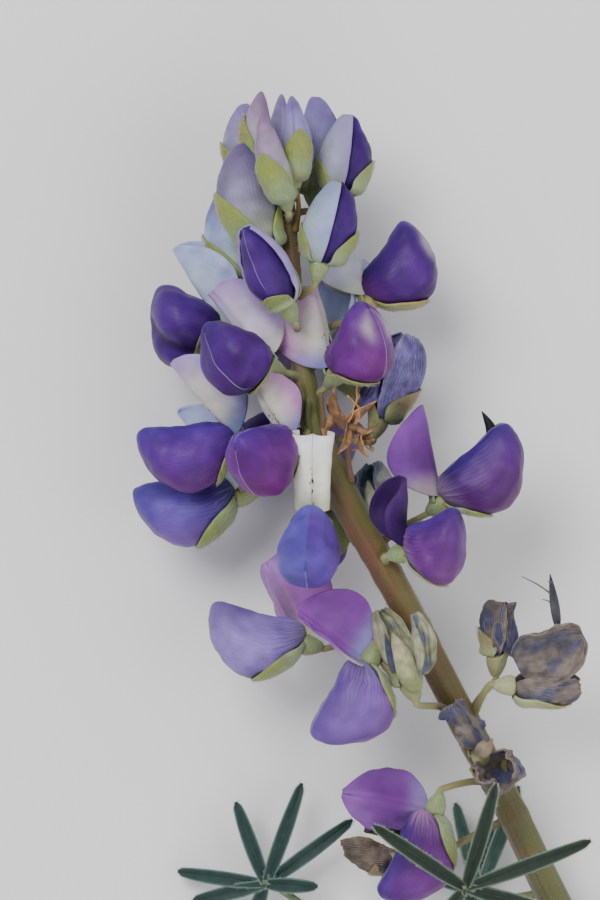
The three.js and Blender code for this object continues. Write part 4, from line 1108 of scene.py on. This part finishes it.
def calyx_hair_sets(rng):
    """Hairs on the lower lip and on the stalk of every flower."""
    sizes = bpy.context.scene.lupin_sizes
    count = trial(sizes.hair_count)
    sets = []
    u, q = grid(np.linspace(0.02, 0.95, LIP_GRID[0]), np.linspace(-1, 1, LIP_GRID[1]))
    for k, row in enumerate(FLOWERS):
        lip = lip_points(row, u, q, *lip_of(row), 0.1)
        centre = row["base"] + (row["tip"] - row["base"]) * 0.3
        roots, out, along = on_grid(lip, count, 300 + k)
        out = out * np.sign((out * (roots - centre)).sum(-1, keepdims=True))
        sets.append((roots + out * 0.1, out * 0.5 + along, sizes.hair_length * rng.uniform(0.4, 1, count)))
        path = stalk_path(row)
        t = rng.integers(2, len(path) - 1, count // 2)
        way = unit(rng.normal(size=(len(t), 3)))
        tangent = unit(np.gradient(path, axis=0))[t]
        way = square_to(way, tangent)
        roots = path[t] + way * 0.44 + tangent * rng.uniform(-0.2, 0.2, (len(t), 1))
        sets.append((roots, way + 0.5 * tangent, 0.8 * sizes.hair_length * rng.uniform(0.4, 1, len(t))))
    return sets


def stem_hair_set(rng):
    """Hairs all round the stem, apart from where it lies on the surface."""
    line = catmull(RACHIS, np.linspace(0.1, 0.995, trial(HAIRS_ON_STEM)))
    tangent = unit(np.gradient(line[:, :3], axis=0))
    way = square_to(unit(rng.normal(size=(len(line), 3))), tangent)
    roots = line[:, :3] + way * line[:, 3:] * 0.98
    above = roots[:, 2] > 0.8
    lengths = 0.7 * bpy.context.scene.lupin_sizes.hair_length * rng.uniform(0.3, 1, len(line))
    return roots[above], (way + 0.4 * tangent)[above], lengths[above]


def leaf_hair_sets(rng):
    """Hairs along both edges of every leaflet, pointing away from its middle."""
    longest = 0.7 * bpy.context.scene.lupin_sizes.hair_length
    count = trial(HAIRS_ON_EDGE)
    sets = []
    for _, _, hub, tips, _ in LEAVES.values():
        hub = np.array(hub, float)
        for k, tip in enumerate(tips):
            points, _, _ = leaflet_grid(hub, np.array(tip, float))
            for columns in (points[:, :2], points[:, -2:]):
                roots, _, along = on_grid(columns, count, 500 + k)
                side = unit(roots - (hub + (np.array(tip, float) - hub) * 0.5))
                away = unit(np.cross(along, [0, 0, 1.0]))
                away = away * np.sign((away * side).sum(-1, keepdims=True))
                sets.append((roots, away + 0.7 * along, longest * rng.uniform(0.4, 1, count)))
    return sets


# ---- Materials ------------------------------------------------------------------------------------

class Nodes:
    """Short ways to add and link shader nodes in one material."""

    def __init__(self, name):
        self.material = bpy.data.materials.get(name) or bpy.data.materials.new(name)
        self.material.use_nodes = True
        self.tree = self.material.node_tree
        self.shader = self.tree.nodes["Principled BSDF"]

    def add(self, kind, inputs=None, **values):
        """A new node: its properties set, and each input linked to an output or set to a value."""
        node = self.tree.nodes.new(kind)
        for key, value in values.items():
            setattr(node, key, value)
        for key, value in (inputs or {}).items():
            if isinstance(value, bpy.types.NodeSocket):
                self.tree.links.new(value, node.inputs[key])
            else:
                node.inputs[key].default_value = value
        return node

    def maths(self, operation, a, b=0.0, c=0.5, clamp=False):
        """The result of a Math node."""
        inputs = {0: a, 1: b, 2: c}
        return self.add("ShaderNodeMath", inputs, operation=operation, use_clamp=clamp).outputs[0]

    def mix(self, blend_type, share, a, b):
        """The colour out of a Mix node, whose sockets 0, 6 and 7 are its share and its two colours."""
        inputs = {0: share, 6: a, 7: b}
        return self.add("ShaderNodeMix", inputs, data_type="RGBA", blend_type=blend_type).outputs[2]

    def noise(self, place, scale, detail=2.0):
        """The value of a noise texture, mostly between 0.3 and 0.7."""
        inputs = {"Vector": place, "Scale": scale, "Detail": detail}
        return self.add("ShaderNodeTexNoise", inputs).outputs[0]

    def sources(self):
        """The painted colour, the place on the object, and the UV along and across."""
        colour = self.add("ShaderNodeAttribute", attribute_name="paint").outputs["Color"]
        place = self.add("ShaderNodeTexCoord").outputs["Object"]
        uv = self.add("ShaderNodeSeparateXYZ", {0: self.add("ShaderNodeUVMap", uv_map="UVMap").outputs[0]})
        return colour, place, uv.outputs[0], uv.outputs[1]

    def colour(self, colour, noise, low, high):
        """Links the base colour: a colour whose value goes from low to high with a noise."""
        value = self.add("ShaderNodeMapRange", {0: noise, 1: 0.3, 2: 0.7, 3: low, 4: high}).outputs[0]
        toned = self.add("ShaderNodeHueSaturation", {"Color": colour, "Value": value})
        self.link(toned.outputs[0], "Base Color")

    def bump(self, strength, distance, height):
        """Links the normal: a bump of this height."""
        inputs = {"Strength": strength, "Distance": distance, "Height": height}
        self.link(self.add("ShaderNodeBump", inputs).outputs[0], "Normal")

    def set(self, **values):
        """Sets inputs of the shader, named with _ for a space."""
        for key, value in values.items():
            self.shader.inputs[key.replace("_", " ")].default_value = value

    def link(self, output, name):
        """Links an output to an input of the shader."""
        self.tree.links.new(output, self.shader.inputs[name])


def rgba(colour):
    """A colour with full alpha, as a socket takes it."""
    return (*[float(c) for c in colour], 1.0)


def petal_finish(n):
    """Petal skin: attribute colour, darker veins along it, specks, a painted highlight line on the seam and
    fine grain.
    """
    colour, place, along, across = n.sources()
    marks = n.add("ShaderNodeSeparateColor",
                  {0: n.add("ShaderNodeAttribute", attribute_name="marks").outputs["Color"]})
    mottle = n.noise(place, 420.0, 4.0)
    wander = n.noise(place, 260.0)
    line = n.maths("ADD", n.maths("MULTIPLY", across, 260.0), n.maths("MULTIPLY", wander, 26.0))
    wave = n.maths("MULTIPLY_ADD", n.maths("SINE", line), 0.5)
    vein = n.maths("POWER", wave, 7.0, clamp=True)
    strength = n.maths("MULTIPLY", vein, n.maths("MULTIPLY", marks.outputs[0], 0.8))
    tinted = n.mix("MULTIPLY", strength, colour, VEIN_TINT)
    spots_at = n.add("ShaderNodeCombineXYZ", {0: n.maths("MULTIPLY", along, 11.0),
                                              1: n.maths("MULTIPLY", across, 26.0)})
    spots = n.add("ShaderNodeTexVoronoi", {"Vector": spots_at.outputs[0], "Scale": 1.0}).outputs["Distance"]
    speck = n.maths("LESS_THAN", spots, n.maths("MULTIPLY", marks.outputs[1], 0.42))
    spotted = n.mix("MIX", speck, tinted, rgba(SPECK))
    # Painted highlight: a thin pale line at the middle of the UV across, along the keel seam of a wing pair.
    middle = n.maths("LESS_THAN", n.maths("ABSOLUTE", n.maths("SUBTRACT", across, 0.5)), 0.0026)
    seam = n.maths("MULTIPLY", middle, n.maths("MULTIPLY", marks.outputs[2], 0.28))
    n.colour(n.mix("MIX", seam, spotted, rgba(PAINTED_HIGHLIGHT_LINE)), mottle, 0.86, 1.12)
    grain = n.noise(place, 9000.0)
    height = n.maths("ADD", n.maths("MULTIPLY", grain, 0.25), n.maths("MULTIPLY", vein, -0.5))
    n.bump(0.5, 0.00006, n.maths("ADD", height, n.maths("MULTIPLY", mottle, 0.6)))
    n.set(Roughness=0.42, Subsurface_Weight=0.2, Subsurface_Scale=0.001, Subsurface_Radius=(1.0, 0.45, 0.9),
          Sheen_Weight=0.03, Sheen_Roughness=0.4, Specular_IOR_Level=0.18)


def green_finish(n):
    """Stem, stalk and calyx skin: attribute colour, lengthwise streaks, pores and a fine grain."""
    colour, place, along, across = n.sources()
    streak_at = n.add("ShaderNodeCombineXYZ", {0: n.maths("MULTIPLY", along, 6.0),
                                               1: n.maths("MULTIPLY", across, 60.0)})
    streak = n.noise(streak_at.outputs[0], 1.0, 4.0)
    patch = n.noise(place, 300.0, 5.0)
    share = n.add("ShaderNodeMapRange", {0: patch, 1: 0.5, 2: 0.75, 3: 0.0, 4: 0.45}).outputs[0]
    n.colour(n.mix("MIX", share, colour, rgba(RED_BLUSH)), streak, 0.72, 1.25)
    pores = n.add("ShaderNodeTexVoronoi", {"Vector": place, "Scale": 2600.0}).outputs["Distance"]
    n.bump(0.6, 0.0001, n.maths("ADD", n.maths("MULTIPLY", streak, 1.0), n.maths("MULTIPLY", pores, 0.5)))
    n.set(Roughness=0.55, Subsurface_Weight=0.12, Subsurface_Scale=0.001, Subsurface_Radius=(0.5, 1.0, 0.3),
          Sheen_Weight=0.2, Specular_IOR_Level=0.4)


def leaf_finish(n):
    """Leaf skin: attribute colour, slanting side veins from the midrib and a silky grain."""
    colour, place, along, across = n.sources()
    off = n.maths("ABSOLUTE", n.maths("SUBTRACT", across, 0.5))
    slant = n.maths("SUBTRACT", n.maths("MULTIPLY", along, 150.0), n.maths("MULTIPLY", off, 70.0))
    rib = n.maths("POWER", n.maths("ABSOLUTE", n.maths("SINE", slant)), 8.0)
    mottle = n.noise(place, 900.0, 4.0)
    n.colour(n.mix("MIX", n.maths("MULTIPLY", rib, 0.12), colour, rgba(LEAF_RIB)), mottle, 0.75, 1.2)
    n.bump(0.5, 0.00008, n.maths("ADD", n.maths("MULTIPLY", rib, -0.7), mottle))
    n.set(Roughness=0.55, Sheen_Weight=0.12, Sheen_Roughness=0.35, Specular_IOR_Level=0.4,
          Subsurface_Weight=0.06, Subsurface_Scale=0.0008)


def dry_finish(n):
    """Dry petals and bracts: attribute colour, wiry veins, blotches and a rough papery bump."""
    colour, place, _, across = n.sources()
    wander = n.noise(place, 500.0, 3.0)
    line = n.maths("ADD", n.maths("MULTIPLY", across, 130.0), n.maths("MULTIPLY", wander, 10.0))
    vein = n.maths("POWER", n.maths("ABSOLUTE", n.maths("SINE", line)), 6.0)
    blotch = n.noise(place, 700.0, 6.0)
    n.colour(n.mix("MIX", n.maths("MULTIPLY", vein, 0.45), colour, rgba(DRY_VEIN)), blotch, 0.55, 1.3)
    n.bump(0.8, 0.00012, n.maths("ADD", n.maths("MULTIPLY", vein, 0.8), blotch))
    n.set(Roughness=0.68, Sheen_Weight=0.1, Specular_IOR_Level=0.3, Subsurface_Weight=0.05,
          Subsurface_Scale=0.0005)


def hair_finish(n):
    """Silky hairs: between two colours, slightly see-through to light from behind."""
    low, high = (rgba(ink(c)) for c in HAIR_PAINT[n.material.name])
    place = n.add("ShaderNodeTexCoord").outputs["Object"]
    n.link(n.mix("MIX", n.noise(place, 800.0), low, high), "Base Color")
    n.set(Roughness=0.4, Sheen_Weight=0.2, Subsurface_Weight=0.1, Subsurface_Scale=0.0003)


FINISHES = {"petal": petal_finish, "green_skin": green_finish, "leaf_skin": leaf_finish,
            "dry_skin": dry_finish, "silky_hair": hair_finish, "stem_hair": hair_finish}


def finished(name):
    """The material of this name, made when it is first asked for."""
    ready = bpy.data.materials.get(name)
    if ready is None:
        n = Nodes(name)
        FINISHES[name](n)
        ready = n.material
    return ready


# ---- The sizes a user may change ------------------------------------------------------------------

class LupinSizes(bpy.types.PropertyGroup):
    """Sizes of the petals and leaves, in millimetres."""

    petal_thickness: FloatProperty(name="Petal thickness", description="Thickness of a petal, mm",
                                   default=0.3, min=0.1, max=0.8)
    wing_height: FloatProperty(name="Wing height", description="Keel seam to upper margin of a wing pair, mm",
                               default=9.2, min=4, max=14)
    wing_width: FloatProperty(name="Wing width", description="Width of a wing pair across its cheeks, mm",
                              default=8.2, min=4, max=14)
    banner_width: FloatProperty(name="Banner width", description="Width of a banner laid flat, mm",
                                default=14.4, min=6, max=20)
    ridge_radius: FloatProperty(name="Ridge radius", description="Radius of the crease of a banner, mm",
                                default=1.5, min=0.5, max=3)
    leaflet_half_width: FloatProperty(name="Leaflet half width", default=1.05, min=0.5, max=4,
                                      description="Half the width of a leaflet, mm")
    hair_length: FloatProperty(name="Hair length", description="Length of the longest hairs, mm",
                               default=0.75, min=0.1, max=2)
    hair_count: IntProperty(name="Hairs on a calyx", description="Number of hairs on each calyx",
                            default=190, min=0, max=600)


class LupinStage(bpy.types.PropertyGroup):
    """The surface under the spike and the light on it."""

    floor_colour: FloatVectorProperty(name="Surface", description="Colour of the surface", subtype="COLOR",
                                      size=3, default=(0.80, 0.79, 0.78), min=0, max=1)
    key_power: FloatProperty(name="Key light", description="Power of the main soft light",
                             default=8.0, min=0, max=50, unit="POWER")


# ---- Stage ----------------------------------------------------------------------------------------

FLOOR_HALF = 1.2  # half the width of the surface, in metres
LIT = np.array([0, 0, 0.016])  # the place that the lamps point at, in metres
# Lamps: name, place and size in metres, and power as a share of the key light's.
LAMPS = (
    ("key", (-0.35, 0.42, 0.75), 0.5, 1.0),
    ("fill", (0.55, -0.1, 0.6), 0.6, 0.35),
    ("rim", (0.1, -0.6, 0.45), 0.5, 0.25),
)
ROOM_COLOUR, ROOM_STRENGTH = (0.9, 0.92, 1.0, 1), 0.5
CAMERA_LENS, CAMERA_SENSOR = 200, 36  # in millimetres
STEM_HEIGHT, CAMERA_AWAY = 0.019, 0.7  # height of the stem, and of the camera above it, in metres


# ---- Operators ------------------------------------------------------------------------------------

class LupinOperator(bpy.types.Operator):
    """What the operators of this add-on share."""

    bl_options = {"REGISTER", "UNDO"}


class LUPIN_OT_stem(LupinOperator):
    """Adds the stem and the flower stalks"""

    bl_idname = "lupin.stem"
    bl_label = "Stem and stalks"

    def execute(self, context):
        patches = [rachis_patch()] + [stalk_patch(row) for row in FLOWERS] + stub_patches()
        piece("stem_and_stalks", patches, "green_skin", "stem", "stem")
        return {"FINISHED"}


class LUPIN_OT_calyces(LupinOperator):
    """Adds the cup and the two lips of every calyx"""

    bl_idname = "lupin.calyces"
    bl_label = "Calyces"

    def execute(self, context):
        patches = []
        for group in (BUDS, YOUNG, OPEN, FADED):
            for k, row in enumerate(group.values()):
                patches += calyx_patches(row, 40 + k, old=group is FADED)
        piece("calyces", patches, "green_skin", "stem")
        return {"FINISHED"}


class LUPIN_OT_buds(LupinOperator):
    """Adds the closed buds at the tip"""

    bl_idname = "lupin.buds"
    bl_label = "Buds"

    def execute(self, context):
        for name, row in BUDS.items():
            piece(f"bud_petals_{name}", [bud_patch(row, int(name))], "petal", "bud", f"bud_{name}")
        return {"FINISHED"}


class LUPIN_OT_young(LupinOperator):
    """Adds the young flowers, whose banner still cloaks the wings"""

    bl_idname = "lupin.young"
    bl_label = "Young flowers"

    def execute(self, context):
        for name, row in YOUNG.items():
            seed = int(name)
            piece(f"young_wings_{name}", [wing_patch(row, seed)], "petal", "violet_petal",
                  f"bud_{name}_wings")
            piece(f"young_banner_{name}", [cloak_patch(row, seed + 50)], "petal", "pale_petal",
                  f"bud_{name}_banner")
        return {"FINISHED"}


class LUPIN_OT_blooms(LupinOperator):
    """Adds the open flowers: wings, keels and banners"""

    bl_idname = "lupin.blooms"
    bl_label = "Open flowers"

    def execute(self, context):
        for name, row in OPEN.items():
            seed = int(name)
            density = 0.6 if name in HIDDEN else 1.0
            wings = [wing_patch(row, seed, density)] + ([keel_patch(row)] if "keel" in row else [])
            wings += [beak_patch(row)] if "beak" in row else []
            piece(f"wings_{name}", wings, "petal",
                  "mauve_petal" if name in OLD else "violet_petal", f"bloom_{name}_wings")
            piece(f"banner_{name}", [banner_patch(row, seed + 50, density)], "petal",
                  "pink_petal" if name in OLD else "pale_petal", f"bloom_{name}_banner")
        return {"FINISHED"}


class LUPIN_OT_faded(LupinOperator):
    """Adds the faded and withered flowers"""

    bl_idname = "lupin.faded"
    bl_label = "Faded flowers"

    def execute(self, context):
        for name, row in FADED.items():
            piece(f"withered_{name}", faded_patches(row, int(name) * 3), "dry_skin", "withered_petal",
                  f"faded_{name}")
        return {"FINISHED"}


class LUPIN_OT_bracts(LupinOperator):
    """Adds the dry bracts and the spent anther cluster"""

    bl_idname = "lupin.bracts"
    bl_label = "Dry bracts"

    def execute(self, context):
        piece("bracts_and_anthers", bract_patches(), "dry_skin", "dry_bract", "dry_bracts")
        return {"FINISHED"}


class LUPIN_OT_leaves(LupinOperator):
    """Adds the palmate leaves"""

    bl_idname = "lupin.leaves"
    bl_label = "Leaves"

    def execute(self, context):
        for name, plan in LEAVES.items():
            slot = "silvery_leaf" if plan[-1] == "silver" else "leaf"
            piece(name.replace("leaf_", "palm_"), leaf_patches(plan), "leaf_skin", slot, name)
        return {"FINISHED"}


class LUPIN_OT_hairs(LupinOperator):
    """Adds the silky hairs on stem, calyces and leaves"""

    bl_idname = "lupin.hairs"
    bl_label = "Hairs"

    def execute(self, context):
        rng = np.random.default_rng(11)
        hair_piece("calyx_hairs", calyx_hair_sets(rng), "silky_hair", HAIR_RADIUS)
        hair_piece("stem_hairs", [stem_hair_set(rng)], "stem_hair", STEM_HAIR_RADIUS)
        hair_piece("leaf_hairs", leaf_hair_sets(rng), "silky_hair", HAIR_RADIUS)
        return {"FINISHED"}


class LUPIN_OT_stage(LupinOperator):
    """Adds the pale surface, the soft lights and the camera"""

    bl_idname = "lupin.stage"
    bl_label = "Stage"

    def execute(self, context):
        stage = context.scene.lupin_stage
        mesh = bpy.data.meshes.new("surface")
        corners = [(x * FLOOR_HALF, y * FLOOR_HALF, 0) for x, y in ((-1, -1), (1, -1), (1, 1), (-1, 1))]
        mesh.from_pydata(corners, [], [(0, 1, 2, 3)])
        floor = bpy.data.objects.new("surface", mesh)
        context.scene.collection.objects.link(floor)
        n = Nodes("surface")
        n.set(Base_Color=(*stage.floor_colour, 1.0), Roughness=0.8, Specular_IOR_Level=0.2)
        mesh.materials.append(n.material)
        for name, place, size, share in LAMPS:
            light = bpy.data.lights.new(name, "AREA")
            light.energy = stage.key_power * share
            light.size = size
            lamp = bpy.data.objects.new(name, light)
            lamp.location = place
            way = LIT - np.array(place)
            flat = math.hypot(way[0], way[1])
            lamp.rotation_euler = (math.atan2(flat, -way[2]), 0, math.atan2(way[1], way[0]) - math.pi / 2)
            context.scene.collection.objects.link(lamp)
        world = bpy.data.worlds.new("soft_room")
        world.use_nodes = True
        background = world.node_tree.nodes["Background"]
        background.inputs["Color"].default_value = ROOM_COLOUR
        background.inputs["Strength"].default_value = ROOM_STRENGTH
        context.scene.world = world
        lens = bpy.data.cameras.new("camera")
        lens.lens = CAMERA_LENS
        lens.sensor_width = CAMERA_SENSOR
        camera = bpy.data.objects.new("camera", lens)
        camera.location = (SHIFT[0] * MM, SHIFT[1] * MM, STEM_HEIGHT + CAMERA_AWAY)
        context.scene.collection.objects.link(camera)
        context.scene.camera = camera
        return {"FINISHED"}


STEPS = (LUPIN_OT_stem, LUPIN_OT_calyces, LUPIN_OT_buds, LUPIN_OT_young, LUPIN_OT_blooms, LUPIN_OT_faded,
         LUPIN_OT_bracts, LUPIN_OT_leaves, LUPIN_OT_hairs, LUPIN_OT_stage)


class LUPIN_PT_panel(bpy.types.Panel):
    """Lists the sizes and the steps that build the spike"""

    bl_idname = "LUPIN_PT_panel"
    bl_label = "Lupin Spike"
    bl_space_type = "VIEW_3D"
    bl_region_type = "UI"
    bl_category = "Lupin"

    def draw(self, context):
        for group in (context.scene.lupin_sizes, context.scene.lupin_stage):
            for name in group.bl_rna.properties.keys():
                if name not in ("rna_type", "name"):
                    self.layout.prop(group, name)
        for step in STEPS:
            self.layout.operator(step.bl_idname)


CLASSES = (LupinSizes, LupinStage, *STEPS, LUPIN_PT_panel)


def register():
    """Registers the classes and the two groups of sizes."""
    for cls in CLASSES:
        bpy.utils.register_class(cls)
    bpy.types.Scene.lupin_sizes = PointerProperty(type=LupinSizes)
    bpy.types.Scene.lupin_stage = PointerProperty(type=LupinStage)


def unregister():
    """Takes away all that register adds."""
    del bpy.types.Scene.lupin_stage
    del bpy.types.Scene.lupin_sizes
    for cls in reversed(CLASSES):
        bpy.utils.unregister_class(cls)


def main():
    register()
    for step in STEPS:
        group, name = step.bl_idname.split(".")
        getattr(getattr(bpy.ops, group), name)()


if __name__ == "__main__":
    main()
